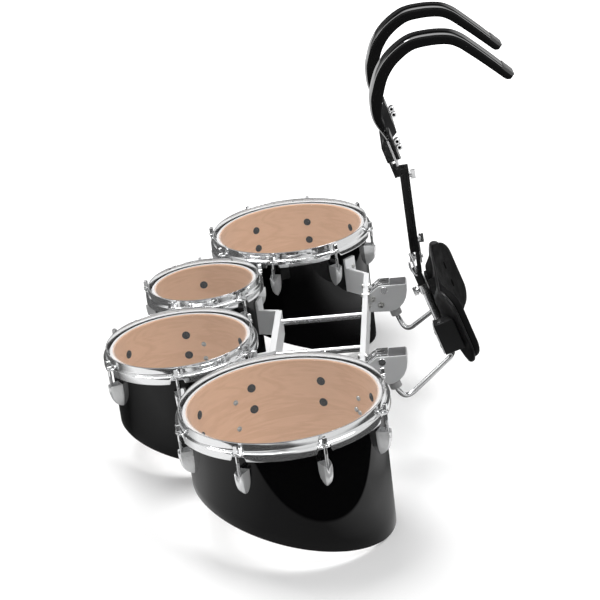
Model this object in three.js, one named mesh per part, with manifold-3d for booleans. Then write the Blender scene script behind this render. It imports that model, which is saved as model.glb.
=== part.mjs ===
// A set of four marching tenor drums on its frame, with the shoulder carrier hooked onto it.
// Lengths are in millimetres and angles in degrees. In the set's own frame x points to the player,
// y runs along the row of drums from the player's left to the right, and z is up from the hoops' lips.
import * as THREE from 'three';
import { mergeVertices } from 'three/addons/utils/BufferGeometryUtils.js';
import Module from 'manifold-3d';

const wasm = await Module();
wasm.setup();

// Sizes that every piece shares
const gap = 0.3; // clearance between pieces that touch
const overrun = 5; // how far a cutting shape runs past what it cuts
const sink = 1.5; // how deep a fused feature reaches into its carrier

// Shells: plies of maple, cut at a slant below so that they are longest on the player's side
const headSizes = { tenor13: 330.2, tenor10: 254, tenor8: 203.2, tenor12: 304.8 };
const shellUndersize = 1;
const shellWall = 7.5;
const edgeDrop = 8.8; // from the hoop's lip down to the bearing edge
const edgeRound = 2.5;
const edgeBevel = 5;
const bottomSlopeShare = 0.352;
const shellDepth = 183.9; // from the lip down to the cut, in the middle of the shallowest shell
const shellExtraDepths = { tenor13: 4.9, tenor10: 0, tenor8: 6.1, tenor12: 21.3 };

// The row of drums: the clear gap to the next shell and the bearing towards it
const rowGaps = { left: 54.9, middle: 46.3, right: 48.5 };
const rowBearings = { left: 125.5, middle: 86.7, right: 59.55 };

// Lugs, one for each tension rod
const lugCounts = { tenor13: 8, tenor10: 6, tenor8: 5, tenor12: 8 };
const lugTurns = { tenor13: 25, tenor10: 33.7, tenor8: 27.2, tenor12: 35.5 };
const lugTop = 48;
const lugHeight = 45;
const lugWidth = 23.5;
const lugDepth = 26.5;
const lugNotchWidth = 9;
const lugNotchDepth = 8;
// Each row: height down the lug, width and depth as shares of the lug's own
const lugShares = [[0, 1, 1], [0.55, 0.94, 0.98], [0.8, 0.5, 0.7], [1, 0.1, 0.12]];
const lugSideShare = 0.86;
const lugFaceShare = 0.45;
const lugShoulderShare = 0.6;

// Counterhoops and tension rods
const hoopLip = 12; // lip's outer radius beyond the shell
const hoopSheet = 2.4;
const hoopWallHeight = 14;
const hoopLedge = 19; // ledge's outer radius beyond the shell
const hoopSkirt = 26; // how far the skirt hangs below the lip
const hoopSkirtSheet = 2;
const hoopNotch = 17; // gap in the skirt at each rod
const rodReach = 16; // rod's axis beyond the shell
const rodRadius = 3;
const rodEnd = 62;
const keySize = 6.4;
const keyTop = 1;
const washerRadius = 6.2;
const washerSheet = 1.6;

// Drum heads: clear film on a metal hoop
const filmSheet = 0.6;
const collarSheet = 0.8;
const fleshInner = 5.5;
const fleshOuter = 12.4;
const fleshHeight = 7;

// Frame: flat bars with end plates bent onto the shells
const barTop = 64;
const barHeight = 50;
const rearBarX = 137;
const rearBarSheet = 10;
const frontBarX = -28;
const frontBarSheet = 12;
const endPlateSheet = 6;
const flangeWidth = 27;
const flangeSheet = 5;
const flangeRise = 18;
const rearBearing = -43.5;
const frontRightBearing = -15;
const frontLeftBearing = 16.2;
const crossTubeRadius = 6.35;
const crossTubeWall = 1.6;
const crossTubeY = 76;
const crossTubeDrop = 75;
const linkSheet = 6;
const linkHeight = 44;
const linkTop = 67;
const linkShift = 17.5; // the middle link stands this far beside the line of centres

// Receivers: cast sockets on the rear bar that take the J-rods from below
const receiverY = 165;
const receiverWidth = 36;
const receiverTop = 48.5;
const receiverReach = 75; // from the rear bar's face to the nose
const receiverHeight = 52;
const receiverSlopeLength = 22;
const receiverSlopeDrop = 16;
const receiverNoseShares = [[1.03, 0.62], [0.84, 1], [0.5, 1.04]];
const receiverPlateSheet = 3;
const receiverPlateWidth = 30;
const receiverPlateLength = 20;
const receiverSlotLength = 16;
const receiverSlotWidth = 6;
const receiverScrewRadius = 7.2;
const receiverScrewSheet = 5;
const receiverScrewReach = 31;
const receiverScrewDrop = 8;
const receiverBossRadius = 12;

// J-rods and their stop collars
const jRodRadius = 4.6;
const jRodTilt = 17; // the receiver leg's lean from the vertical
const jRodEntryX = 191;
const jRodEntryDrop = 110; // level of the stop collar's middle
const jRodInsert = 46; // length of rod above the stop collar's middle
const jRodStraight = 12; // from the stop collar's middle down to the first bend
const jRodLowX = 208; // lower corner of the rod
const jRodLowY = 149;
const jRodLowDrop = 147;
const jRodHighDrop = 9; // upper corner, below the clamp
const jRodBend = 10;
const stopCollarRadius = 11;
const stopCollarLength = 12;

// Belly plate, its pads and what is bolted to its front
const carrierTurn = 3.1; // the carrier hangs turned a little, its left side towards the player
const plateX = 273.5;
const plateDrop = 38;
const plateLean = 17;
const plateCurve = 325; // radius of the curved plate's front
const plateSheet = 4;
const plateWidth = 324;
const plateHeight = 146;
const plateRise = 73; // plate's top edge above the middle of what is bolted to it
const plateCorner = 38;
const padGapHalf = 8; // half the gap between the two pads
const padRim = 5; // plate's rim left bare round a pad
const padSheet = 18;
const padCorner = 34;
// Each ring of a cushion: how far it keeps to the rim and how far it has risen, as shares
const cushionShares = [
  [0.3, 0], [0.72, 0], [0.96, 0], [1, 0.18], [1, 0.55], [0.955, 0.82], [0.85, 0.95], [0.5, 1], [0.2, 1.02],
];
const clampInset = 41; // block's middle from the plate's end
const clampWidth = 26;
const clampFront = 8; // block's front face ahead of the plate's middle
const clampRodX = 3.5;
const clampBottom = 39.5;
const clampHeight = 60;
const clampBoltRadius = 4;
const clampBoltHead = 4;
const clampBoltShares = [0.24, 0.7];
const postRadius = 5.5;
const postBottom = 42;
const postTop = 70;
const footHeight = 14;
const footWidth = 22;
const footFront = 5;
const postCollarRadius = 8.5;
const postCollarBottom = 33;
const postCollarHeight = 18;
const blockWidth = 26;
const blockReach = 18; // block's front ahead of the plate's face
const blockHeight = 46;
const blockShares = [
  [-0.94, 0], [-1, 0.62], [-1.2, 0.9], [-1.12, 1.06], [-0.8, 0.86],
  [0.2, 0.86], [0.2, 0.6], [-0.02, 0.56], [-0.02, 0],
];

// Spine: a grooved bar, the slider in its rear channel and what is bolted to it
const spineX = 243.5;
const spineBase = 75;
const spineLean = 1.75;
const spineLength = 152;
const spineSheet = 16.5;
const spineWidth = 30;
const spineGroove = 4;
const spineGrooveWidth = 6;
const channelDepth = 7.5;
const channelWidth = 15;
const sliderFoot = 42; // slider's length below the spine
const sliderReach = 60; // slider's length inside the channel
const capHeight = 7;
const capScrewRadius = 4.5;
const capScrewHeight = 3;
const bracketSheet = 2.5;
const bracketWidth = 20;
const bracketLow = 22;
const bracketHigh = 13;
const wingHub = 5;
const wingHubLength = 5;
const wingSpan = 16;
const wingSheet = 4;
const wingHeight = 6;
const shankRadius = 2.5;
const topWingDrop = 8; // chest plate's bolt below the spine's top
const lowWingLevel = 22;
const bracketScrewLevel = -12;
const bracketScrewRadius = 4;
const bracketScrewHead = 3;
const sliderBoltLevel = -13;

// Chest plate between the shoulder hooks
const chestLean = 16;
const chestSheet = 6.5;
const chestDrop = 6; // tongue's lower end below the spine's top
const chestHeight = 110;
const chestHalfWidth = 118;
const chestTongueHalfWidth = 19;
const chestFront = 222; // x of the tongue's lower front edge
const chestSideShare = 0.56;
const chestMiddleShare = 0.64; // the top edge dips this low between the ears
const chestSlotLength = 42;
const chestSlotWidth = 7;
const chestWedgeHeight = 15;
const earOffset = 26; // how far the ends stand back towards the player
const earInner = 76;
const earBend = 26;

// Shoulder hooks: metal straps with foam below
const hookY = 98;
const hookWidth = 34;
const hookSheet = 4;
const hookReach = 243;
const hookRise = 176;
const hookX = 189.7; // x of the hook's front
const hookLift = 101; // from the tongue's lower end up to the round part of the hook
// Places on the outer line after the tail, as shares of the reach and the rise
const hookShares = [
  [0.012, 0.2], [0, 0.39], [0.02, 0.52], [0.07, 0.69], [0.16, 0.845], [0.3, 0.97],
  [0.45, 1], [0.59, 0.985], [0.68, 0.93], [0.76, 0.84], [0.88, 0.68], [1, 0.49],
];
const hookPadWidth = 41;
const hookPadSheet = 19;
const hookPadEndSheet = 9;
const hookPadEndShare = 0.55; // the pad's ends are drawn in to this share of its thickness
const hookPadRound = 9;
// The pad's section: across and down as shares of its width and thickness
const hookPadShares = [
  [-0.5, 0.12], [-0.5, 0.75], [-0.38, 0.96], [0, 1.04], [0.38, 0.96],
  [0.5, 0.75], [0.5, 0.12], [0.42, 0], [-0.42, 0],
];
const hookTailLength = 50; // flat tail in front of the chest plate's ear
const hookTailTop = 100; // up the chest plate, where the tail runs into the round part
const hookSpacer = 4.5;
const knobRadius = 5.4;
const knobHeight = 5;
const hookBoltShares = [0.28, 0.55];

// Step counts of round and bent shapes
const drumSides = 32;
const rodSides = 5;
const tubeSides = 8;
const screwSides = 12;
const bendSteps = 4;
const hookSteps = 24;
const padSteps = 3;
const curveSteps = 6;
const cutterSides = 96;

// Looks, taken from the photograph
const looks = {
  lacquer: { color: 0x0c0c0e, roughness: 0.12, metalness: 0 },
  chrome: { color: 0xd9dbde, roughness: 0.12, metalness: 1 },
  film: { color: 0xe2d8cc, roughness: 0.2, metalness: 0, transparent: true, opacity: 0.4 },
  aluminium: { color: 0xe6e6e6, roughness: 0.4, metalness: 0.6 },
  casting: { color: 0xb4b5b6, roughness: 0.45, metalness: 0.7 },
  blackMetal: { color: 0x111112, roughness: 0.35, metalness: 0.4 },
  foam: { color: 0x161617, roughness: 0.85, metalness: 0 },
};

const radians = THREE.MathUtils.degToRad;

// Geometry helpers

// Merges shared vertices, drops empty triangles and turns the faces outward
function closed(geometry) {
  geometry.deleteAttribute('normal');
  geometry.deleteAttribute('uv');
  const merged = mergeVertices(geometry);
  const faces = [];
  const corners = merged.index.array;
  for (let i = 0; i < corners.length; i += 3) {
    const [a, b, c] = [corners[i], corners[i + 1], corners[i + 2]];
    if (a !== b && b !== c && c !== a) faces.push(a, b, c);
  }
  merged.setIndex(faces);
  return outward(merged);
}

function outward(geometry) {
  const at = geometry.attributes.position;
  const index = Array.from(geometry.index.array);
  const [a, b, c] = [new THREE.Vector3(), new THREE.Vector3(), new THREE.Vector3()];
  let volume = 0;
  for (let i = 0; i < index.length; i += 3) {
    a.fromBufferAttribute(at, index[i]);
    b.fromBufferAttribute(at, index[i + 1]);
    c.fromBufferAttribute(at, index[i + 2]);
    volume += a.dot(b.cross(c));
  }
  if (volume < 0) index.reverse();
  geometry.setIndex(index);
  return geometry;
}

function toSolid(geometry) {
  const vertProperties = new Float32Array(geometry.attributes.position.array);
  const triVerts = new Uint32Array(geometry.index.array);
  return new wasm.Manifold(new wasm.Mesh({ numProp: 3, vertProperties, triVerts }));
}

function toGeometry(solid) {
  const mesh = solid.getMesh();
  const geometry = new THREE.BufferGeometry();
  geometry.setAttribute('position', new THREE.BufferAttribute(mesh.vertProperties, 3));
  geometry.setIndex(new THREE.BufferAttribute(mesh.triVerts, 1));
  return geometry;
}

function join(first, ...others) {
  const whole = others.reduce((solid, other) => solid.add(toSolid(other)), toSolid(first));
  return toGeometry(whole);
}

function cut(blank, ...tools) {
  const left = tools.reduce((solid, tool) => solid.subtract(toSolid(tool)), toSolid(blank));
  return toGeometry(left);
}

function common(first, second) {
  return toGeometry(toSolid(first).intersect(toSolid(second)));
}

// A profile of [radius, height] pairs turned about z
function revolve(profile, sides) {
  const outline = profile.map(([radius, height]) => new THREE.Vector2(radius, height));
  if (profile[0][0] > 0) outline.push(outline[0].clone());
  return closed(new THREE.LatheGeometry(outline, sides).rotateX(Math.PI / 2));
}

// A round bar along z between two levels, with its flats outside the radius if it is a cutter
function bar(radius, low, high, sides) {
  const blank = new THREE.CylinderGeometry(radius, radius, high - low, sides);
  return closed(blank.rotateX(Math.PI / 2).translate(0, 0, (low + high) / 2));
}

function bore(radius, low, high, sides) {
  return bar((radius + gap) / Math.cos(Math.PI / sides), low, high, sides);
}

function box(low, high) {
  const [sx, sy, sz] = [high[0] - low[0], high[1] - low[1], high[2] - low[2]];
  const middle = [(low[0] + high[0]) / 2, (low[1] + high[1]) / 2, (low[2] + high[2]) / 2];
  return closed(new THREE.BoxGeometry(sx, sy, sz).translate(...middle));
}

function polygon(points) {
  return new THREE.Shape(points.map(([x, y]) => new THREE.Vector2(x, y)));
}

// An outline in x and y, standing between two levels
function prism(shape, low, high) {
  const options = { depth: high - low, bevelEnabled: false, curveSegments: curveSteps };
  return closed(new THREE.ExtrudeGeometry(shape, options).translate(0, 0, low));
}

// An outline in x and z, as thick as width across y
function slab(shape, width) {
  return closed(prism(shape, -width / 2, width / 2).rotateX(Math.PI / 2));
}

// An outline in y and z, from x to x
function plate(shape, low, high) {
  return closed(prism(shape, low, high).rotateX(Math.PI / 2).rotateZ(Math.PI / 2));
}

// A skin over rings of points, closed by a fan at each end
function loft(rings) {
  const count = rings[0].length;
  const points = rings.flat(2);
  const faces = [];
  for (let ring = 0; ring + 1 < rings.length; ring += 1) {
    for (let i = 0; i < count; i += 1) {
      const [a, b] = [ring * count + i, ring * count + ((i + 1) % count)];
      faces.push(a, b, a + count, b, b + count, a + count);
    }
  }
  const last = (rings.length - 1) * count;
  for (let i = 1; i + 1 < count; i += 1) {
    faces.push(0, i + 1, i);
    faces.push(last, last + i, last + i + 1);
  }
  const geometry = new THREE.BufferGeometry();
  geometry.setAttribute('position', new THREE.Float32BufferAttribute(points, 3));
  geometry.setIndex(faces);
  return closed(geometry);
}

// A round rod through corner points, with each inner corner rounded off over the bend length
function bentRod(corners, radius, bend) {
  const inner = corners.slice(1, -1).flatMap((corner, i) => {
    const before = corners[i].clone().sub(corner).setLength(bend).add(corner);
    const after = corners[i + 2].clone().sub(corner).setLength(bend).add(corner);
    return new THREE.QuadraticBezierCurve3(before, corner, after).getPoints(bendSteps);
  });
  const path = [corners[0], ...inner, corners.at(-1)];
  const leaving = path.map((point, i) => (path[i + 1] ?? point).clone().sub(point).normalize());
  const side = new THREE.Vector3(0, 1, 0);
  const rings = path.map((point, i) => {
    const tangent = leaving[i].clone().add(leaving[Math.max(i - 1, 0)]).normalize();
    side.addScaledVector(tangent, -side.dot(tangent)).normalize();
    const other = tangent.clone().cross(side);
    return Array.from({ length: tubeSides }, (_, k) => {
      const angle = (2 * Math.PI * k) / tubeSides;
      const offset = side.clone().multiplyScalar(radius * Math.cos(angle));
      return offset.addScaledVector(other, radius * Math.sin(angle)).add(point).toArray();
    });
  });
  return loft(rings);
}

// A point at a radius and a bearing from a centre
function polar(centre, radius, bearing) {
  const angle = radians(bearing);
  return { x: centre.x + radius * Math.cos(angle), y: centre.y + radius * Math.sin(angle) };
}

// Brings a geometry from one group's frame into another's
function carried(geometry, from, to) {
  from.updateWorldMatrix(true, false);
  to.updateWorldMatrix(true, false);
  const change = to.matrixWorld.clone().invert().multiply(from.matrixWorld);
  return closed(geometry.applyMatrix4(change));
}

function frameGroup(parent, x, y, z, lean) {
  const group = new THREE.Group();
  group.position.set(x, y, z);
  group.rotation.y = radians(lean);
  parent.add(group);
  return group;
}

function addPart(parent, name, look, geometry) {
  geometry.computeVertexNormals();
  const mesh = new THREE.Mesh(geometry, new THREE.MeshStandardMaterial(look));
  mesh.name = name;
  parent.add(mesh);
  return mesh;
}

// The row of drums, from the player's left to the right

function layOutRow() {
  const drums = {};
  for (const key of Object.keys(headSizes)) {
    drums[key] = {
      key,
      radius: headSizes[key] / 2 - shellUndersize,
      depth: shellDepth + shellExtraDepths[key],
      lugs: lugCounts[key],
      turn: lugTurns[key],
    };
  }
  Object.assign(drums.tenor13, { x: 0, y: 0 });
  const steps = [
    ['tenor13', 'tenor10', 'left'],
    ['tenor10', 'tenor8', 'middle'],
    ['tenor8', 'tenor12', 'right'],
  ];
  for (const [from, to, link] of steps) {
    const spacing = drums[from].radius + rowGaps[link] + drums[to].radius;
    Object.assign(drums[to], polar(drums[from], spacing, rowBearings[link]));
  }
  const middle = { x: drums.tenor12.x / 2, y: drums.tenor12.y / 2 };
  for (const drum of Object.values(drums)) {
    drum.x -= middle.x;
    drum.y -= middle.y;
  }
  return drums;
}

function lugBearings(drum) {
  return Array.from({ length: drum.lugs }, (_, i) => drum.turn + (360 * i) / drum.lugs);
}

// One lug, with x out from the shell and z up, its back buried in the shell's wall
function lug() {
  const rings = lugShares.map(([down, wide, deep]) => {
    const z = -lugTop - lugHeight * down;
    const half = (lugWidth * wide) / 2;
    const depth = lugDepth * deep;
    const right = [
      [-shellWall / 2, -half, z],
      [depth * lugShoulderShare, -half * lugSideShare, z],
      [depth, -half * lugFaceShare, z],
    ];
    const left = right.map(([x, y, level]) => [x, -y, level]).reverse();
    return [...right, ...left];
  });
  const half = lugNotchWidth / 2;
  const top = -lugTop + overrun;
  const slope = (half * (lugNotchDepth + overrun)) / lugNotchDepth;
  const outline = polygon([[-slope, top], [slope, top], [0, -lugTop - lugNotchDepth]]);
  return cut(loft(rings), plate(outline, rodReach, lugDepth + overrun));
}

function shell(drum) {
  const { radius } = drum;
  const lowest = -drum.depth - bottomSlopeShare * radius - overrun;
  const blank = revolve([
    [radius - shellWall, lowest],
    [radius, lowest],
    [radius, -edgeDrop - edgeRound],
    [radius - edgeRound, -edgeDrop],
    [radius - shellWall, -edgeDrop - edgeBevel],
  ], drumSides);
  const reach = 2 * radius;
  const slant = box([-reach, -reach, -reach], [reach, reach, 0]);
  slant.rotateY(Math.atan(bottomSlopeShare)).translate(0, 0, -drum.depth);
  const lugs = lugBearings(drum).map((bearing) => lug().translate(radius, 0, 0).rotateZ(radians(bearing)));
  const holes = lugBearings(drum).map((bearing) => {
    const hole = bore(rodRadius, -rodEnd - gap, -lugTop + overrun, rodSides);
    return hole.translate(radius + rodReach, 0, 0).rotateZ(radians(bearing));
  });
  return cut(join(cut(blank, slant), ...lugs), ...holes);
}

function tensionRod() {
  const seat = -hoopWallHeight;
  const rod = revolve([
    [0, seat + washerSheet],
    [washerRadius, seat + washerSheet],
    [washerRadius, seat - hoopSheet / 2],
    [rodRadius, seat - hoopSheet / 2],
    [rodRadius, -rodEnd],
    [0, -rodEnd],
  ], rodSides);
  const key = box([-keySize / 2, -keySize / 2, seat], [keySize / 2, keySize / 2, -keyTop]);
  return join(rod, key);
}

function hoop(drum) {
  const { radius } = drum;
  const ledge = -hoopWallHeight;
  const ring = revolve([
    [radius + hoopLip - hoopSheet, 0],
    [radius + hoopLip, 0],
    [radius + hoopLip, ledge],
    [radius + hoopLedge - hoopSheet, ledge],
    [radius + hoopLedge, ledge - hoopSheet],
    [radius + hoopLedge, -hoopSkirt],
    [radius + hoopLedge - hoopSkirtSheet, -hoopSkirt],
    [radius + hoopLedge - hoopSkirtSheet, ledge - hoopSheet],
    [radius + hoopLip - hoopSheet, ledge - hoopSheet],
  ], drumSides);
  const notches = lugBearings(drum).map((bearing) => {
    const inner = radius + hoopLedge - hoopSkirtSheet - sink;
    const notch = box(
      [inner, -hoopNotch / 2, -hoopSkirt - overrun],
      [radius + hoopLedge + overrun, hoopNotch / 2, ledge - hoopSheet - gap],
    );
    return notch.rotateZ(radians(bearing));
  });
  const rods = lugBearings(drum).map((bearing) => {
    return tensionRod().translate(radius + rodReach, 0, 0).rotateZ(radians(bearing));
  });
  return join(cut(ring, ...notches), ...rods);
}

function drumHead(drum) {
  const { radius } = drum;
  const top = -edgeDrop + gap + filmSheet;
  const ledge = -hoopWallHeight - hoopSheet - gap;
  return revolve([
    [0, top],
    [radius - edgeRound / 2, top],
    [radius + gap + collarSheet, -edgeDrop - edgeRound],
    [radius + gap + collarSheet, ledge],
    [radius + fleshOuter, ledge],
    [radius + fleshOuter, ledge - fleshHeight],
    [radius + fleshInner, ledge - fleshHeight],
    [radius + fleshInner, ledge - collarSheet],
    [radius + gap, ledge - collarSheet],
    [radius + gap, -edgeDrop - edgeRound + gap / 2],
    [radius - edgeRound, -edgeDrop + gap],
    [0, -edgeDrop + gap],
  ], drumSides);
}

function addDrum(parent, drum) {
  const group = frameGroup(parent, drum.x, drum.y, 0, 0);
  const size = drum.key.replace('tenor', '');
  addPart(group, `shell_${size}`, looks.lacquer, shell(drum));
  addPart(group, `hoop_${size}`, looks.chrome, hoop(drum));
  addPart(group, `head_${size}`, looks.film, drumHead(drum));
}

// The frame that ties the four shells together

// What has to be cleared for a shell: its outside with the gap
function shellCutter(drum) {
  const cutter = revolve([
    [0, -drum.depth - overrun],
    [drum.radius + gap, -drum.depth - overrun],
    [drum.radius + gap, 0],
    [0, 0],
  ], drumSides);
  return cutter.translate(drum.x, drum.y, 0);
}

// A flange on a shell, bent off a plate at a bearing to its left (-1) or right (1)
function shellFlange(drum, bearing, hand, low, high) {
  const middle = (hand * (flangeWidth - endPlateSheet)) / 2;
  const blank = box(
    [drum.radius - flangeSheet, middle - flangeWidth / 2, low],
    [drum.radius + flangeSheet, middle + flangeWidth / 2, high],
  );
  return blank.rotateZ(radians(bearing)).translate(drum.x, drum.y, 0);
}

// A flat plate that stands off a shell along a bearing, as far as a bar at x
function endPlate(drum, bearing, barX) {
  const length = (barX - drum.x) / Math.cos(radians(bearing));
  const blank = box(
    [drum.radius - flangeSheet, -endPlateSheet / 2, -barTop - barHeight],
    [length, endPlateSheet / 2, -barTop],
  );
  return blank.rotateZ(radians(bearing)).translate(drum.x, drum.y, 0);
}

function barEnd(drum, bearing, barX) {
  return drum.y + (barX - drum.x) * Math.tan(radians(bearing));
}

function frameBar(barX, sheet, from, to) {
  return box([barX - sheet / 2, from, -barTop - barHeight], [barX + sheet / 2, to, -barTop]);
}

function rearBar(drums) {
  const { tenor13, tenor12 } = drums;
  const meet = (Math.acos((rearBarX - tenor13.x) / tenor13.radius) * 180) / Math.PI;
  const from = barEnd(tenor13, meet, rearBarX);
  const to = barEnd(tenor12, rearBearing, rearBarX);
  const low = -barTop - barHeight;
  const high = -barTop + flangeRise;
  const whole = join(
    frameBar(rearBarX, rearBarSheet, from, to),
    shellFlange(tenor13, meet, -1, low, high),
    endPlate(tenor12, rearBearing, rearBarX),
    shellFlange(tenor12, rearBearing, 1, low, high),
  );
  return cut(whole, shellCutter(tenor13), shellCutter(tenor12));
}

function frontBar(drums) {
  const { tenor10, tenor8 } = drums;
  const from = barEnd(tenor10, frontLeftBearing, frontBarX);
  const to = barEnd(tenor8, frontRightBearing, frontBarX);
  const low = -barTop - barHeight;
  const high = -barTop + flangeRise;
  const whole = join(
    frameBar(frontBarX, frontBarSheet, from, to),
    endPlate(tenor10, frontLeftBearing, frontBarX),
    shellFlange(tenor10, frontLeftBearing, -1, low, high),
    endPlate(tenor8, frontRightBearing, frontBarX),
    shellFlange(tenor8, frontRightBearing, 1, low, high),
  );
  return cut(whole, shellCutter(tenor10), shellCutter(tenor8));
}

function crossTube() {
  const length = rearBarX - rearBarSheet / 2 - frontBarX - frontBarSheet / 2 - 2 * gap;
  const tube = cut(
    bar(crossTubeRadius, 0, length, screwSides),
    bar(crossTubeRadius - crossTubeWall, -overrun, length + overrun, screwSides),
  );
  return tube.rotateY(Math.PI / 2).translate(frontBarX + frontBarSheet / 2 + gap, 0, -crossTubeDrop);
}

// A link between two neighbouring shells, beside their line of centres by the shift
function shellLink(from, to, bearing, shift) {
  const spacing = Math.hypot(to.x - from.x, to.y - from.y);
  const nearEnd = Math.sqrt(from.radius ** 2 - shift ** 2);
  const farEnd = spacing - Math.sqrt(to.radius ** 2 - shift ** 2);
  const [low, high] = [-linkTop - linkHeight, -linkTop];
  const [one, other] = [shift - flangeWidth / 2, shift + flangeWidth / 2];
  const whole = join(
    box([nearEnd - sink, shift - linkSheet / 2, low], [farEnd + sink, shift + linkSheet / 2, high]),
    box([nearEnd - flangeSheet, one, low], [nearEnd + flangeSheet, other, high]),
    box([farEnd - flangeSheet, one, low], [farEnd + flangeSheet, other, high]),
  );
  whole.rotateZ(radians(bearing)).translate(from.x, from.y, 0);
  return cut(whole, shellCutter(from), shellCutter(to));
}

function addFrame(parent, drums) {
  const { tenor13, tenor10, tenor8, tenor12 } = drums;
  addPart(parent, 'rear_bar', looks.aluminium, rearBar(drums));
  addPart(parent, 'front_bar', looks.aluminium, frontBar(drums));
  addPart(parent, 'cross_tube_left', looks.chrome, crossTube()).position.y = -crossTubeY;
  addPart(parent, 'cross_tube_right', looks.chrome, crossTube()).position.y = crossTubeY;
  const links = [
    ['link_left', tenor13, tenor10, rowBearings.left, 0],
    ['link_middle', tenor10, tenor8, rowBearings.middle, -linkShift],
    ['link_right', tenor8, tenor12, rowBearings.right, 0],
  ];
  for (const [name, from, to, bearing, shift] of links) {
    addPart(parent, name, looks.aluminium, shellLink(from, to, bearing, shift));
  }
}

// Receivers on the rear bar, in the x and z of the set and with y from the receiver's middle

const receiverFace = rearBarX + rearBarSheet / 2 + gap;
const jRodDirection = new THREE.Vector3(Math.sin(radians(jRodTilt)), 0, -Math.cos(radians(jRodTilt)));

// A geometry that runs down z, laid along the receiver leg of a J-rod with zero at the stop collar
function alongJRod(geometry) {
  return geometry.rotateY(radians(-jRodTilt)).translate(jRodEntryX, 0, -jRodEntryDrop);
}

function receiver() {
  const at = (share, down) => [receiverFace + receiverReach * share, -receiverTop - receiverHeight * down];
  const outline = new THREE.Shape();
  outline.moveTo(receiverFace, -receiverTop - receiverSlopeDrop);
  outline.lineTo(receiverFace + receiverSlopeLength, -receiverTop);
  outline.lineTo(...at(1, 0));
  outline.bezierCurveTo(...receiverNoseShares.flatMap(([share, down]) => at(share, down)));
  outline.lineTo(...at(0, 1));
  const boss = alongJRod(bar(receiverBossRadius, stopCollarLength / 2 + gap, jRodInsert / 2, screwSides));
  const hole = alongJRod(bore(jRodRadius, -overrun, jRodInsert + gap, tubeSides));
  return cut(join(slab(outline, receiverWidth), boss), hole);
}

// A bent plate over the receiver's sloped top, with a slot in it
function receiverPlate() {
  const lift = gap;
  const corner = [receiverFace + receiverSlopeLength, -receiverTop + lift];
  const low = [receiverFace, -receiverTop - receiverSlopeDrop + lift];
  const end = [corner[0] + receiverPlateLength, corner[1]];
  const raise = ([x, z]) => [x, z + receiverPlateSheet];
  const outline = polygon([low, corner, end, raise(end), raise(corner), raise(low)]);
  const strip = slab(outline, receiverPlateWidth);
  const middle = corner[0];
  const slot = box(
    [middle - receiverSlotLength / 2, -receiverSlotWidth / 2, -receiverTop - receiverSlopeDrop],
    [middle + receiverSlotLength / 2, receiverSlotWidth / 2, -receiverTop + receiverPlateSheet + overrun],
  );
  return cut(strip, slot);
}

function receiverScrew() {
  const head = bar(receiverScrewRadius, 0, receiverScrewSheet, screwSides).rotateX(Math.PI / 2);
  const side = -receiverWidth / 2 - gap;
  return head.translate(receiverFace + receiverScrewReach, side, -receiverTop - receiverScrewDrop);
}

function stopCollar() {
  const half = stopCollarLength / 2;
  const ring = cut(
    bar(stopCollarRadius, -half, half, screwSides),
    bore(jRodRadius, -half - overrun, half + overrun, tubeSides),
  );
  return alongJRod(ring);
}

function addReceiver(parent, side) {
  const group = frameGroup(parent, 0, side.sign * receiverY, 0, 0);
  addPart(group, `receiver_${side.name}`, looks.casting, receiver());
  addPart(group, `receiver_plate_${side.name}`, looks.chrome, receiverPlate());
  addPart(group, `receiver_screw_${side.name}`, looks.chrome, receiverScrew());
  addPart(group, `stop_collar_${side.name}`, looks.casting, stopCollar());
}

// The carrier hangs on the set turned about its spine

function carrierFrame(parent) {
  const turned = frameGroup(parent, spineX, 0, 0, 0);
  turned.rotation.z = radians(carrierTurn);
  return frameGroup(turned, -spineX, 0, 0, 0);
}

// The belly plate leans forward at the top; its frame has x to the player and z up the plate

function bellyFrame(parent) {
  return frameGroup(parent, plateX, 0, -plateDrop, -plateLean);
}

const clampY = plateWidth / 2 - clampInset;
const plateMiddle = plateRise - plateHeight / 2;

// Where the J-rods' upper legs stand, in the belly plate's frame
function clampPoint(side, z) {
  return new THREE.Vector3(clampRodX, side.sign * clampY, z);
}

function jRod(side, belly) {
  belly.updateWorldMatrix(true, false);
  const toSet = (point) => point.applyMatrix4(belly.matrixWorld);
  const entry = new THREE.Vector3(jRodEntryX, side.sign * receiverY, -jRodEntryDrop);
  const along = (length) => entry.clone().addScaledVector(jRodDirection, length);
  const corners = [
    along(-jRodInsert),
    along(jRodStraight),
    new THREE.Vector3(jRodLowX, side.sign * jRodLowY, -jRodLowDrop),
    toSet(clampPoint(side, -clampBottom - jRodHighDrop)),
    toSet(clampPoint(side, -clampBottom + clampHeight - 2 * gap)),
  ];
  return bentRod(corners, jRodRadius, jRodBend);
}

// A plan ring about the plate's centre of curvature, between two radii, over the plate's height
function curvedSlab(outer, inner, low, high) {
  const half = plateWidth / plateCurve / 2;
  const shape = new THREE.Shape();
  shape.absarc(plateCurve, 0, outer, Math.PI - half, Math.PI + half, false);
  shape.absarc(plateCurve, 0, inner, Math.PI + half, Math.PI - half, true);
  const options = { depth: high - low, bevelEnabled: false, curveSegments: 2 * curveSteps };
  return closed(new THREE.ExtrudeGeometry(shape, options).translate(0, 0, low));
}

function roundedRectangle(width, height, corner) {
  const [x, y] = [width / 2 - corner, height / 2 - corner];
  const shape = new THREE.Shape();
  shape.absarc(x, y, corner, 0, Math.PI / 2, false);
  shape.absarc(-x, y, corner, Math.PI / 2, Math.PI, false);
  shape.absarc(-x, -y, corner, Math.PI, 1.5 * Math.PI, false);
  shape.absarc(x, -y, corner, 1.5 * Math.PI, 2 * Math.PI, false);
  return shape;
}

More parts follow.
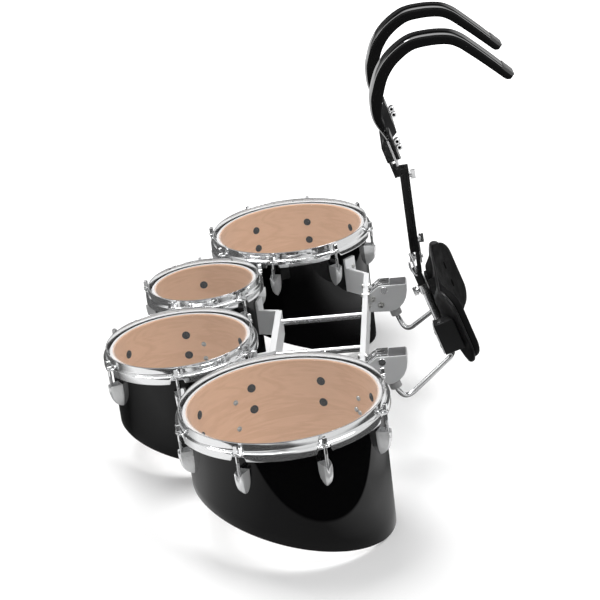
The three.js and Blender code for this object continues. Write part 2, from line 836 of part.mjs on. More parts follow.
function bellyPlate() {
  const chord = 2 * plateCurve * Math.sin(plateWidth / plateCurve / 2);
  const silhouette = plate(roundedRectangle(chord, plateHeight, plateCorner), -overrun, plateWidth / 2);
  const high = plateHeight / 2 + sink;
  const sheet = curvedSlab(plateCurve, plateCurve - plateSheet, -high, high);
  return common(sheet, silhouette).translate(0, 0, plateMiddle);
}

// A cushion over an outline of [across, up] points: rings step in from the rim and rise to the crown
function cushion(outline, place) {
  return loft(cushionShares.map(([shrink, rise]) => {
    return outline.map(([across, up]) => place(across * shrink, up * shrink, rise));
  }));
}

// A pad on the player's side of the plate, bent to its curve
function bellyPad(side) {
  const width = plateWidth / 2 - padGapHalf - padRim;
  const height = plateHeight - 2 * padRim;
  const middle = side.sign * (padGapHalf + width / 2);
  const rim = roundedRectangle(width, height, padCorner).getPoints(padSteps).map(({ x, y }) => [x, y]);
  const outline = rim.filter(([x, y], i) => {
    return i === 0 || Math.hypot(x - rim[i - 1][0], y - rim[i - 1][1]) > gap;
  });
  const place = (across, up, rise) => {
    const angle = (middle + across) / plateCurve;
    const radius = plateCurve - plateSheet - gap - padSheet * rise;
    return [plateCurve - radius * Math.cos(angle), radius * Math.sin(angle), plateMiddle + up];
  };
  return cushion(outline, place);
}

// What has to be cleared for the plate: the curve of its front with the gap
function plateCutter() {
  return bar(plateCurve + gap, -plateHeight, plateHeight, cutterSides).translate(plateCurve, 0, 0);
}

// A clamp block on the plate's front, bored for the J-rod, with two bolt heads
function rodClamp(side) {
  const y = side.sign * clampY;
  const [low, high] = [-clampBottom, -clampBottom + clampHeight];
  const block = box([-clampFront, y - clampWidth / 2, low], [plateCurve / 4, y + clampWidth / 2, high]);
  const bolts = clampBoltShares.map((share) => {
    const head = bar(clampBoltRadius, 0, clampBoltHead + sink, screwSides).rotateY(-Math.PI / 2);
    return head.translate(-clampFront + sink, y, low + clampHeight * share);
  });
  const hole = bore(jRodRadius, low - overrun, high + overrun, tubeSides).translate(clampRodX, y, 0);
  return cut(join(block, ...bolts), plateCutter(), hole);
}

// The post stands off the plate by its collar's radius
const postX = -postCollarRadius - gap;

function bellyPost() {
  const post = bar(postRadius, -postBottom, postTop, screwSides).translate(postX, 0, 0);
  const foot = box(
    [postX - postRadius - footFront, -footWidth / 2, -postBottom],
    [overrun, footWidth / 2, -postBottom + footHeight],
  );
  return cut(join(post, foot), plateCutter());
}

function postCollar() {
  const high = postCollarBottom + postCollarHeight;
  const ring = bar(postCollarRadius, postCollarBottom, high, screwSides);
  const hole = bore(postRadius, postCollarBottom - overrun, high + overrun, screwSides);
  return cut(ring, hole).translate(postX, 0, 0);
}

const blockBase = postCollarBottom + postCollarHeight + gap;

function lowerBlock() {
  const outline = blockShares.map(([x, z]) => [blockReach * x, blockBase + blockHeight * z]);
  const hole = bore(postRadius, blockBase - overrun, postTop + gap, screwSides).translate(postX, 0, 0);
  return cut(slab(polygon(outline), blockWidth), hole);
}

// Wing bolt: a hub with two wings and a shank, with the hub's seat at zero and the shank along -z
function wingBolt(shankLength) {
  const hub = bar(wingHub, gap, wingHubLength, screwSides);
  const wings = box(
    [-wingSpan / 2, -wingSheet / 2, wingHubLength / 2],
    [wingSpan / 2, wingSheet / 2, wingHubLength + wingHeight],
  );
  if (shankLength === 0) return join(hub, wings);
  return join(hub, wings, bar(shankRadius, -shankLength, wingHubLength / 2, rodSides));
}

function roundScrew() {
  const head = bar(bracketScrewRadius, gap, bracketScrewHead, screwSides);
  return join(head, bar(shankRadius, -channelDepth, bracketScrewHead / 2, rodSides));
}

const topWingLevel = spineLength - topWingDrop;
const chestBase = spineBase + spineLength - chestDrop;
const hookBase = chestBase + hookLift;

// The spine's frame has z up the spine from its lower end, and x to the player

function spineFrame(parent) {
  return frameGroup(parent, spineX, 0, spineBase, -spineLean);
}

function spineSection() {
  const [x, y] = [spineSheet / 2, spineWidth / 2];
  const [groove, floor] = [spineGrooveWidth / 2, y - spineGroove];
  const [channel, depth] = [channelWidth / 2 + gap, x - channelDepth - gap];
  return polygon([
    [-x, -y], [-groove, -y], [-groove, -floor], [groove, -floor], [groove, -y], [x, -y],
    [x, -channel], [depth, -channel], [depth, channel], [x, channel],
    [x, y], [groove, y], [groove, floor], [-groove, floor], [-groove, y], [-x, y],
  ]);
}

// A hole for a bolt's shank, across the spine along x
function crossHole(level) {
  const hole = bore(shankRadius, -2 * spineSheet, 2 * spineSheet, rodSides);
  return hole.rotateY(Math.PI / 2).translate(0, 0, level);
}

function spine() {
  return cut(prism(spineSection(), 0, spineLength), crossHole(topWingLevel));
}

function slider() {
  const x = spineSheet / 2;
  const half = channelWidth / 2;
  const blank = box([x - channelDepth, -half, -sliderFoot], [x, half, sliderReach]);
  return cut(blank, crossHole(lowWingLevel), crossHole(bracketScrewLevel));
}

function rearBracket() {
  const x = spineSheet / 2 + gap;
  const blank = box([x, -bracketWidth / 2, -bracketLow], [x + bracketSheet, bracketWidth / 2, bracketHigh]);
  return cut(blank, crossHole(bracketScrewLevel));
}

function spineCap() {
  const [x, y] = [spineSheet / 2, spineWidth / 2];
  const low = spineLength + gap;
  const screw = bar(capScrewRadius, low, low + capHeight + capScrewHeight, screwSides);
  return join(box([-x, -y, low], [x, y, low + capHeight]), screw);
}

// The chest plate's frame has z up the plate from the tongue's lower end, and x to the player

function chestFrame(parent) {
  return frameGroup(parent, chestFront, 0, chestBase, -chestLean);
}

function chestOutline() {
  const [wide, narrow] = [chestHalfWidth, chestTongueHalfWidth];
  const shoulder = chestHeight * chestSideShare;
  const [dipEnd, dip] = [earInner - earBend, chestHeight * chestMiddleShare];
  return polygon([
    [-narrow, 0], [narrow, 0], [narrow, shoulder / 2], [wide, shoulder],
    [wide, chestHeight], [earInner, chestHeight], [dipEnd, dip], [-dipEnd, dip], [-earInner, chestHeight],
    [-wide, chestHeight], [-wide, shoulder], [-narrow, shoulder / 2],
  ]);
}

const slotBottom = (chestHeight * (1 + chestSideShare) - chestSlotLength) / 2;

// A place in the chest plate's middle plane, given in the set's x and z
function chestPoint(x, z) {
  const [along, up] = [Math.cos(radians(chestLean)), Math.sin(radians(chestLean))];
  return new THREE.Vector2(chestFront + x * along - z * up, chestBase + x * up + z * along);
}

// The plate's plan: a flat middle and two flat ears that stand back
function chestPlan() {
  const [inner, end] = [earInner - earBend, chestHalfWidth + overrun];
  const front = [[0, inner], [earOffset, earInner], [earOffset, end]];
  const back = earOffset + chestSheet;
  const rear = [[back, end], [back, earInner - sink], [chestSheet, inner - sink]];
  const right = [...front, ...rear];
  const left = right.map(([x, y]) => [x, -y]).reverse();
  return polygon([...left.slice(3), ...front, ...rear, ...left.slice(0, 3)]);
}

function chestPlate(chest, spineGroup) {
  const sheet = common(
    prism(chestPlan(), -overrun, chestHeight + overrun),
    plate(chestOutline(), -overrun, earOffset + chestSheet + overrun),
  );
  const wedge = box(
    [chestSheet - sink, -chestTongueHalfWidth, 0],
    [2 * spineSheet, chestTongueHalfWidth, chestWedgeHeight],
  );
  const blank = join(sheet, wedge);
  const spineSpace = box(
    [-spineSheet / 2 - gap, -spineWidth, -overrun],
    [spineSheet * 4, spineWidth, spineLength * 2],
  );
  const shank = crossHole(topWingLevel);
  const slots = [-1, 1].map((sign) => box(
    [earOffset - overrun, sign * hookY - chestSlotWidth / 2, slotBottom],
    [earOffset + chestSheet + overrun, sign * hookY + chestSlotWidth / 2, slotBottom + chestSlotLength],
  ));
  return cut(blank, carried(spineSpace, spineGroup, chest), carried(shank, spineGroup, chest), ...slots);
}

// Shoulder hooks, with y from the hook's middle

const tailFace = earOffset - hookSpacer - hookSheet;

function hookCurve() {
  const points = hookShares.map(([x, z]) => {
    return new THREE.Vector2(hookX + hookReach * x, hookBase + hookRise * z);
  });
  return new THREE.SplineCurve([chestPoint(tailFace, hookTailTop), ...points]);
}

// Points on the hook's curve and the unit normals that point to its inside
function hookStations() {
  const curve = hookCurve();
  return Array.from({ length: hookSteps + 1 }, (_, i) => {
    const share = i / hookSteps;
    const point = curve.getPointAt(share);
    const tangent = curve.getTangentAt(share);
    return { share, point, normal: new THREE.Vector2(tangent.y, -tangent.x) };
  });
}

function hookStrap(chest, hook) {
  const stations = hookStations();
  const low = hookTailTop - hookTailLength;
  const outer = [chestPoint(tailFace, low), ...stations.map(({ point }) => point)];
  const inner = stations.map(({ point, normal }) => point.clone().addScaledVector(normal, hookSheet));
  inner[0] = chestPoint(tailFace + hookSheet, hookTailTop);
  inner.unshift(chestPoint(tailFace + hookSheet, low));
  const arch = slab(new THREE.Shape([...outer, ...inner.reverse()]), hookWidth);
  const bolts = hookBoltShares.flatMap((share) => {
    const level = slotBottom + chestSlotLength * share;
    const spacer = bar(knobRadius, -hookSpacer - sink, -gap, screwSides);
    const shank = bar(shankRadius, -hookSpacer - sink, chestSheet + knobHeight, rodSides);
    return [spacer, shank].map((piece) => piece.rotateY(Math.PI / 2).translate(earOffset, 0, level));
  });
  return join(arch, ...bolts.map((bolt) => carried(bolt, chest, hook)));
}

// A foam pad under the hook, thinner to the rear end
function hookPad() {
  const stations = hookStations().slice(1);
  const rings = stations.map(({ share, point, normal }) => {
    const ends = Math.min(1, hookPadEndShare + hookPadRound * Math.min(share - 1 / hookSteps, 1 - share));
    const thick = hookPadSheet + (hookPadEndSheet - hookPadSheet) * share ** 2;
    return hookPadShares.map(([across, deep]) => {
      const depth = hookSheet + gap + thick * deep * ends;
      return [point.x + normal.x * depth, across * hookPadWidth, point.y + normal.y * depth];
    });
  });
  return loft(rings);
}

function knob() {
  const ring = bar(knobRadius, gap, knobHeight, screwSides);
  return cut(ring, bore(shankRadius, -overrun, knobHeight + overrun, rodSides));
}

function addCarrier(parent, sides) {
  const carrier = carrierFrame(parent);
  const belly = bellyFrame(carrier);
  addPart(belly, 'belly_plate', looks.blackMetal, bellyPlate());
  addPart(belly, 'belly_post', looks.chrome, bellyPost());
  addPart(belly, 'post_collar', looks.chrome, postCollar());
  for (const side of sides) {
    addPart(parent, `j_rod_${side.name}`, looks.chrome, jRod(side, belly));
    addPart(belly, `rod_clamp_${side.name}`, looks.blackMetal, rodClamp(side));
    addPart(belly, `belly_pad_${side.name}`, looks.foam, bellyPad(side));
  }
  const collarBolt = addPart(belly, 'collar_wing_bolt', looks.chrome, wingBolt(0));
  collarBolt.rotation.y = -Math.PI / 2;
  collarBolt.position.set(postX - postCollarRadius, 0, postCollarBottom + postCollarHeight / 2);

  const spineGroup = spineFrame(carrier);
  const sliderSpace = box(
    [spineSheet / 2 - channelDepth - gap, -channelWidth / 2 - gap, -sliderFoot - gap],
    [spineSheet / 2 + gap, channelWidth / 2 + gap, 0],
  );
  const block = cut(lowerBlock(), carried(sliderSpace, spineGroup, belly));
  addPart(belly, 'lower_block', looks.blackMetal, block);
  addPart(spineGroup, 'spine', looks.blackMetal, spine());
  addPart(spineGroup, 'slider', looks.blackMetal, slider());
  addPart(spineGroup, 'rear_bracket', looks.chrome, rearBracket());
  addPart(spineGroup, 'spine_cap', looks.blackMetal, spineCap());
  const [face, bracketFace] = [spineSheet / 2, spineSheet / 2 + bracketSheet + gap];
  const bolts = [
    ['spine_wing_bolt', wingBolt(spineSheet + chestSheet), face, topWingLevel, 1],
    ['slider_wing_bolt', wingBolt(channelDepth), face, lowWingLevel, 1],
    ['bracket_screw', roundScrew(), bracketFace, bracketScrewLevel, 1],
    ['height_wing_bolt', wingBolt(0), face - channelDepth, sliderBoltLevel, -1],
  ];
  for (const [name, geometry, x, level, sign] of bolts) {
    const bolt = addPart(spineGroup, name, looks.chrome, geometry);
    bolt.rotation.y = (sign * Math.PI) / 2;
    bolt.position.set(x, 0, level);
  }

  const chest = chestFrame(carrier);
  addPart(chest, 'chest_plate', looks.blackMetal, chestPlate(chest, spineGroup));
  for (const side of sides) {
    const hook = frameGroup(carrier, 0, side.sign * hookY, 0, 0);
    const hookChest = frameGroup(hook, chestFront, 0, chestBase, -chestLean);
    addPart(hook, `hook_strap_${side.name}`, looks.blackMetal, hookStrap(hookChest, hook));
    addPart(hook, `hook_pad_${side.name}`, looks.foam, hookPad());
    hookBoltShares.forEach((share, i) => {
      const ring = addPart(hookChest, `hook_knob_${side.name}_${i + 1}`, looks.chrome, knob());
      ring.rotation.y = Math.PI / 2;
      ring.position.set(earOffset + chestSheet, 0, slotBottom + chestSlotLength * share);
    });
  }
}

// The set stands on the lowest points of three shells, which leans it forward a little
function standOnShells(set, drums) {
  const feet = [drums.tenor13, drums.tenor12, drums.tenor10].map(({ x, y, radius, depth }) => {
    return new THREE.Vector3(x + radius, y, -depth - bottomSlopeShare * radius);
  });
  const floor = new THREE.Plane().setFromCoplanarPoints(...feet);
  const up = new THREE.Vector3(0, 0, 1);
  set.quaternion.setFromUnitVectors(floor.normal.clone().multiplyScalar(Math.sign(floor.normal.z)), up);
  set.updateMatrixWorld(true);
  const bounds = new THREE.Box3().setFromObject(set, true);
  const middle = bounds.getCenter(new THREE.Vector3());
  set.position.set(-middle.x, -middle.y, -bounds.min.z);
  set.updateMatrixWorld(true);
}

const sides = [{ name: 'left', sign: -1 }, { name: 'right', sign: 1 }];
const drums = layOutRow();
const set = new THREE.Group();
for (const drum of Object.values(drums)) addDrum(set, drum);
addFrame(set, drums);
for (const side of sides) addReceiver(set, side);
addCarrier(set, sides);
standOnShells(set, drums);

export default set;
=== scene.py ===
import math

import bmesh
import bpy
import numpy as np
from mathutils import Matrix, Vector


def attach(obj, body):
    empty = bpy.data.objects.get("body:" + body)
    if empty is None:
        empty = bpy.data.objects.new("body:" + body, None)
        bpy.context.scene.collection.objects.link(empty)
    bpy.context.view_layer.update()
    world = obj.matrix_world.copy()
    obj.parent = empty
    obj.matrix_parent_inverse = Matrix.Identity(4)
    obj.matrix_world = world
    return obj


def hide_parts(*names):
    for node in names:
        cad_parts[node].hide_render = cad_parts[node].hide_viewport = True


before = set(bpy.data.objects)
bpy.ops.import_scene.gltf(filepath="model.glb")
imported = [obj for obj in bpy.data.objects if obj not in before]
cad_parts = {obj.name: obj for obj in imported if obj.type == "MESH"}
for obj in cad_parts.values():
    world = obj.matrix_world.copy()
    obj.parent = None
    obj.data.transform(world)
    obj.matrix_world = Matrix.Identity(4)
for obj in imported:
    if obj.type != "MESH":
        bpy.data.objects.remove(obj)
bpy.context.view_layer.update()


# The set's own frame. Its x points to the player, its y runs along the row of drums from the
# player's left, and its z is up from the lips of the hoops. The set leans a little in the row
# frame, because it stands on the lowest points of three shells.
millimetre = 0.001
set_frame = np.array([
    [0.994973, -0.001012, -0.100141, -34.957],
    [-0.001012, 0.999796, -0.020161, 2.746],
    [0.100141, 0.020161, 0.994769, 235.410],
    [0, 0, 0, 1],
])


def shifted(x, y, z):
    """A frame moved by x, y, z."""
    place = np.eye(4)
    place[:3, 3] = x, y, z
    return place


def leaning(degrees):
    """A frame turned about y; a positive turn brings z towards x."""
    c, s = math.cos(math.radians(degrees)), math.sin(math.radians(degrees))
    return np.array([[c, 0, s, 0], [0, 1, 0, 0], [-s, 0, c, 0], [0, 0, 0, 1]])


def turned(degrees):
    """A frame turned about z; a positive turn brings x towards y."""
    c, s = math.cos(math.radians(degrees)), math.sin(math.radians(degrees))
    return np.array([[c, -s, 0, 0], [s, c, 0, 0], [0, 0, 1, 0], [0, 0, 0, 1]])


def in_row(points, place=set_frame):
    """Points of a frame, in millimetres, in the row frame, in metres: turned, then moved."""
    points = np.asarray(points, float)
    return (points @ place[:3, :3].T + place[:3, 3]) * millimetre


# Camera and studio. The camera stands on the player's left, a little above the drums. The floor
# and the room are white, and two lamps overhead light the set softly. Gloss shows painted
# reflections: the floor and the room glow with dark and pale parts that only glossy rays see.
camera_place = [333.275, -3090.869, 1258.213]
camera_axes = np.array([
    [0.9918205, 0.0509236, -0.1170421],
    [0.0887773, 0.3836233, 0.9192126],
    [0.0917097, -0.9220845, 0.3759646],
])
sensor_width, focal_length, furthest_seen = 36, 109.732, 100
camera = bpy.data.objects.new("camera", bpy.data.cameras.new("camera"))
bpy.context.scene.collection.objects.link(camera)
bpy.context.scene.camera = camera
camera.data.sensor_width = sensor_width
camera.data.lens = focal_length
camera.data.clip_end = furthest_seen
camera_turn = set_frame[:3, :3] @ camera_axes.T
camera.matrix_world = Matrix(np.vstack([
    np.column_stack([camera_turn, in_row([camera_place])[0]]), [0, 0, 0, 1],
]).tolist())
bpy.context.scene.view_settings.view_transform = "Standard"


def give(tree, socket, value):
    """Sets a socket to a plain value, or links it to what another node puts out."""
    if isinstance(value, bpy.types.NodeSocket):
        tree.links.new(value, socket)
    else:
        socket.default_value = value


def give_named(tree, node, **values):
    """Gives values to a node's sockets by their names, and returns the node."""
    for name, value in values.items():
        give(tree, node.inputs[name.replace("_", " ").title().replace("Ior", "IOR")], value)
    return node


def give_in_order(tree, node, *values):
    """Gives values to a node's sockets in their order, and returns the node."""
    for socket, value in zip(node.inputs, values):
        give(tree, socket, value)
    return node


def new_node(tree, kind, **values):
    """A shader node with values given to its sockets."""
    return give_named(tree, tree.nodes.new("ShaderNode" + kind), **values)


def new_material(name, **values):
    """A material with one Principled shader, and values given to the shader's sockets."""
    material = bpy.data.materials.new(name)
    material.use_nodes = True
    tree = material.node_tree
    return material, tree, give_named(tree, tree.nodes["Principled BSDF"], **values)


floor_half = 9
floor_mesh = bpy.data.meshes.new("floor")
floor_corners = [(-1, -1), (1, -1), (1, 1), (-1, 1)]
floor_mesh.from_pydata([(x * floor_half, y * floor_half, 0) for x, y in floor_corners], [], [(0, 1, 2, 3)])
floor = bpy.data.objects.new("floor", floor_mesh)
bpy.context.scene.collection.objects.link(floor)

# to the camera the floor is white paper, whiter further off; glossy rays alone see it glow with a
# painted reflection: pale round the set out to a dark gap and pale again beyond, towards the front
# and the right, dimmer across the middle, and pale far behind
reflection_patch_middle = (-0.4835, 0.3566, 0)
floor_look, tree, shader = new_material(
    "white_floor", base_color=(0.93, 0.93, 0.93, 1), roughness=0.9, specular_ior_level=0.1)
here = new_node(tree, "TexCoord").outputs["Object"]
sides = new_node(tree, "SeparateXYZ", vector=here)


def ramp_over(tree, value, low, high, stops):
    """Brightness as straight runs between stops, over a value that goes from low to high."""
    share = new_node(tree, "MapRange", value=value, from_min=low, from_max=high)
    levels = new_node(tree, "ValToRGB", fac=share.outputs["Result"])
    ramp = levels.color_ramp
    ramp.elements[0].position, ramp.elements[0].color = 0, (*[stops[0][1]] * 3, 1)
    ramp.elements[1].position, ramp.elements[1].color = 1, (*[stops[-1][1]] * 3, 1)
    for place, level in stops:
        ramp.elements.new((place - low) / (high - low)).color = (level, level, level, 1)
    return levels.outputs["Color"]


def worked_out(tree, operation, *terms, kind="Math"):
    """The result of a Math node over terms, each a plain value or what another node puts out."""
    node = new_node(tree, kind)
    node.operation = operation
    return give_in_order(tree, node, *terms).outputs["Value"]


def blended(tree, how, one, other, share=1):
    """Two colours joined: the lighter of them, their product, or a mix."""
    mix = new_node(tree, "Mix")
    mix.data_type = "RGBA"
    mix.blend_type = how
    return give_named(tree, mix, factor=share, a=one, b=other).outputs["Result"]


def by_ray(tree, kind, others, these):
    """One shader for rays of a kind, and another for all others."""
    rays = new_node(tree, "LightPath")
    mix = new_node(tree, "MixShader")
    return give_in_order(tree, mix, rays.outputs[kind], others, these).outputs["Shader"]


from_reflection_patch = worked_out(tree, "DISTANCE", here, reflection_patch_middle, kind="VectorMath")
from_middle = worked_out(tree, "DISTANCE", here, (0, 0, 0), kind="VectorMath")
reflection_patch = ramp_over(tree, from_reflection_patch, 0, 3, [
    (0, 0.85), (1.208, 0.85), (1.218, 0), (1.75, 0), (1.95, 0.75), (3, 0.75)])
front = ramp_over(tree, sides.outputs["Y"], -1, 1, [(-1, 1), (-0.42, 1), (-0.15, 0.06), (1, 0.06)])
right = ramp_over(tree, sides.outputs["X"], -1, 1, [
    (-1, 0), (-0.1, 0), (0.2, 0.12), (0.3, 0.25), (0.45, 1), (1, 1)])
middle = ramp_over(tree, sides.outputs["X"], -1, 1, [
    (-1, 1.2), (-0.35, 1.1), (-0.1, 0.45), (0.15, 0.35), (0.3, 1.1), (1, 1)])
behind = ramp_over(tree, sides.outputs["Y"], -3, 3, [(-3, 0), (1, 0), (1.35, 0.9), (3, 0.9)])
whiter = ramp_over(tree, from_middle, 0, 3, [(0, 0.06), (0.9, 0.06), (1.7, 0.3), (2.8, 1), (3, 1)])
painted_reflection = blended(tree, "LIGHTEN", front, right)
painted_reflection = blended(tree, "MULTIPLY", painted_reflection, middle)
painted_reflection = blended(tree, "MULTIPLY", painted_reflection, reflection_patch)
painted_reflection = blended(tree, "LIGHTEN", painted_reflection, behind)
# glossy rays alone see this painted reflection, as a glow
painted_reflection_glow = new_node(tree, "Emission", color=painted_reflection)
give_named(tree, shader, emission_color=whiter, emission_strength=1)
surface = by_ray(tree, "Is Glossy Ray", shader.outputs["BSDF"], painted_reflection_glow.outputs["Emission"])
give_named(tree, tree.nodes["Material Output"], surface=surface)
floor_mesh.materials.append(floor_look)

# the room is white to the camera and lights the set evenly; glossy rays alone see a painted reflection in it:
# a pale wall, dark on one side, a dark band and a bright ceiling
world = bpy.data.worlds.new("studio")
bpy.context.scene.world = world
world.use_nodes = True
tree = world.node_tree
tree.nodes.clear()
split = new_node(tree, "SeparateXYZ", vector=new_node(tree, "TexCoord").outputs["Generated"])
painted_room_bands = ramp_over(tree, split.outputs["Z"], -1, 1, [
    (-1, 0.3), (-0.05, 0.75), (0.24, 0.7), (0.3, 0.05), (0.54, 0.05), (0.68, 0.95), (1, 0.8)])
left = ramp_over(tree, split.outputs["X"], -1, 1, [
    (-1, 0.9), (-0.7, 0.6), (-0.45, 0.1), (0.08, 0.1), (0.3, 1), (1, 1)])
above = ramp_over(tree, split.outputs["Z"], -1, 1, [(-1, 0), (0.54, 0), (0.62, 1), (1, 1)])
painted_room_sides = blended(tree, "LIGHTEN", left, above)
gloss = new_node(tree, "Background", color=blended(tree, "MULTIPLY", painted_room_bands, painted_room_sides))
even = new_node(tree, "Background", color=(1, 1, 1, 1), strength=0.5)
white = new_node(tree, "Background", color=(1, 1, 1, 1))
unseen = by_ray(tree, "Is Glossy Ray", even.outputs["Background"], gloss.outputs["Background"])
seen = by_ray(tree, "Is Camera Ray", unseen, white.outputs["Background"])
new_node(tree, "OutputWorld", surface=seen)

lamps = [
    ("key_lamp", (-0.9, 0.7, 2.6), 1.6, 62),
    ("fill_lamp", (1.4, -0.6, 2.4), 1.4, 24),
]
for name, place, side, power in lamps:
    lamp = bpy.data.lights.new(name, "AREA")
    lamp.shape = "SQUARE"
    lamp.size = side
    lamp.energy = power
    lamp_object = bpy.data.objects.new(name, lamp)
    lamp_object.location = place
    lamp_object.rotation_euler = (-Vector(place)).to_track_quat("-Z", "Y").to_euler()
    bpy.context.scene.collection.objects.link(lamp_object)


# Shells. Each is a tube of maple plies with a rounded bearing edge, lacquered black outside and
# left as clear maple inside, and cut at a slant below so that it is longest on the player's side.
drums = {
    "13": {"x": 16.172, "y": -406.185, "radius": 164.1, "depth": 188.8, "lugs": 8, "turn": 25},
    "10": {"x": -184.171, "y": -125.315, "radius": 126, "depth": 183.9, "lugs": 6, "turn": 33.7},
    "8": {"x": -168.461, "y": 147.132, "radius": 100.6, "depth": 190, "lugs": 5, "turn": 27.2},
    "12": {"x": -16.172, "y": 406.185, "radius": 151.4, "depth": 205.2, "lugs": 8, "turn": 35.5},
}
shell_wall, edge_drop, edge_round, inner_drop = 7.5, 8.8, 2.5, 1.2
cut_share, bottom_slope, round_steps = 0.004, 0.352, 288


def skin(points, uv=None):
    """A sheet of four-sided faces over a grid of points, with a place on the pattern for each."""
    points = np.asarray(points, float)
    rows, columns = points.shape[:2]
    at = np.arange(rows * columns).reshape(rows, columns)
    faces = np.stack([at[:-1, :-1], at[1:, :-1], at[1:, 1:], at[:-1, 1:]], -1).reshape(-1, 4)
    if uv is None:
        uv = np.stack(np.meshgrid(np.linspace(0, 1, rows), np.linspace(0, 1, columns), indexing="ij"), -1)
    return points.reshape(-1, 3), faces, np.asarray(uv, float).reshape(-1, 2)


def add_piece(name, sheets, materials, body, stands_for=(), zones=None, crease=35):
    """Joins sheets into one closed mesh, merges what meets, and turns the faces outwards."""
    vertices, faces, uvs, zone = [], [], [], []
    count = 0
    for i, (points, quads, uv) in enumerate(sheets):
        vertices.append(points)
        faces.append(quads + count)
        uvs.append(uv)
        zone.append(np.full(len(quads), 0) if zones is None else np.broadcast_to(zones[i], len(quads)))
        count += len(points)
    vertices, faces, uvs = np.vstack(vertices), np.vstack(faces), np.vstack(uvs)
    mesh = bpy.data.meshes.new(name)
    mesh.from_pydata(vertices.tolist(), [], faces.tolist())
    mesh.polygons.foreach_set("material_index", np.concatenate(zone).astype(np.int32))
    layer = mesh.uv_layers.new(name="UVMap")
    layer.data.foreach_set("uv", uvs[faces.ravel()].ravel())
    for material in materials:
        mesh.materials.append(material)
    return finish_mesh(name, mesh, body, stands_for, crease)


def finish_mesh(name, mesh, body, stands_for, crease):
    """Cleans a mesh, sets its sharp edges by angle, and hangs it on its body."""
    work = bmesh.new()
    work.from_mesh(mesh)
    bmesh.ops.remove_doubles(work, verts=work.verts, dist=2e-6)
    bmesh.ops.recalc_face_normals(work, faces=work.faces)
    work.to_mesh(mesh)
    work.free()
    mesh.shade_smooth()
    mesh.set_sharp_from_angle(angle=math.radians(crease))
    piece = bpy.data.objects.new(name, mesh)
    bpy.context.scene.collection.objects.link(piece)
    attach(piece, body)
    if stands_for:
        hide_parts(*stands_for)
    return piece


def round_angles(steps=round_steps):
    """Angles of a full turn, with the first again at the end."""
    return np.linspace(0, 2 * math.pi, steps + 1)


def carried_round(radius, height, angle, place, uv=None):
    """A sheet of points given by radius, height and angle about z, in a frame."""
    x, y = radius * np.cos(angle), radius * np.sin(angle)
    return skin(in_row(np.stack([x, y, np.broadcast_to(height, x.shape)], -1), place), uv)


def turned_profile(profile, steps, place):
    """A closed or open profile of (radius, height) turned about z, in a frame."""
    profile = np.asarray(profile, float)
    return carried_round(profile[:, :1], profile[:, 1:], round_angles(steps), place)


def drum_frame(drum):
    """The frame of a drum: its axis in the set's frame."""
    return set_frame @ shifted(drum["x"], drum["y"], 0)


# an effect for every finish: cloudy changes of a value over the surface
cloud = bpy.data.node_groups.new("cloudy_value", "ShaderNodeTree")
for socket, value in [("Scale", 20.0), ("Low", 0.1), ("High", 0.3), ("Detail", 4.0)]:
    cloud.interface.new_socket(socket, in_out="INPUT", socket_type="NodeSocketFloat").default_value = value
cloud.interface.new_socket("Value", in_out="OUTPUT", socket_type="NodeSocketFloat")
given = cloud.nodes.new("NodeGroupInput").outputs
coords = new_node(cloud, "TexCoord")
noise = new_node(cloud, "TexNoise", vector=coords.outputs["Object"], scale=given["Scale"],
                 detail=given["Detail"])
spread = new_node(cloud, "MapRange", value=noise.outputs["Fac"], from_min=0.3, from_max=0.7,
                  to_min=given["Low"], to_max=given["High"])
give_named(cloud, cloud.nodes.new("NodeGroupOutput"), value=spread.outputs["Result"])


def cloudy(tree, scale, low, high, detail=4):
    """The cloudy value at a scale, between a low and a high value."""
    group = new_node(tree, "Group")
    group.node_tree = cloud
    return give_named(tree, group, scale=scale, low=low, high=high, detail=detail).outputs["Value"]


def bumpy(tree, shader, strength, distance, height):
    """Raises a surface by a height."""
    bump = new_node(tree, "Bump", strength=strength, distance=distance, height=height)
    give_named(tree, shader, normal=bump.outputs["Normal"])


def cloudy_finish(name, colour, rough, bumps=None, **values):
    """A material of one colour. Its roughness is cloudy, given as scale, low and high, and so are
    its fine bumps, given as scale, strength and distance."""
    material, tree, shader = new_material(name, base_color=(*colour, 1), **values)
    give_named(tree, shader, roughness=cloudy(tree, *rough))
    if bumps:
        bumpy(tree, shader, *bumps[1:], cloudy(tree, bumps[0], 0, 1, 6))
    return material


lacquer = cloudy_finish("black_lacquer", (0.002, 0.002, 0.0022), (14, 0.008, 0.02), (25, 0.004, 0.0003),
                        ior=1.5, specular_ior_level=0.3)


def own_pattern(tree):
    """A surface's own pattern."""
    pattern = new_node(tree, "UVMap")
    pattern.uv_map = "UVMap"
    return pattern.outputs["UV"]


def stretched_noise(tree, shape, scale, detail, distortion=0):
    """Noise over a surface's own pattern, stretched by a shape."""
    stretch = new_node(tree, "Mapping", vector=own_pattern(tree), scale=shape)
    noise = new_node(tree, "TexNoise", vector=stretch.outputs["Vector"], scale=scale, detail=detail,
                     distortion=distortion)
    return noise.outputs["Fac"]


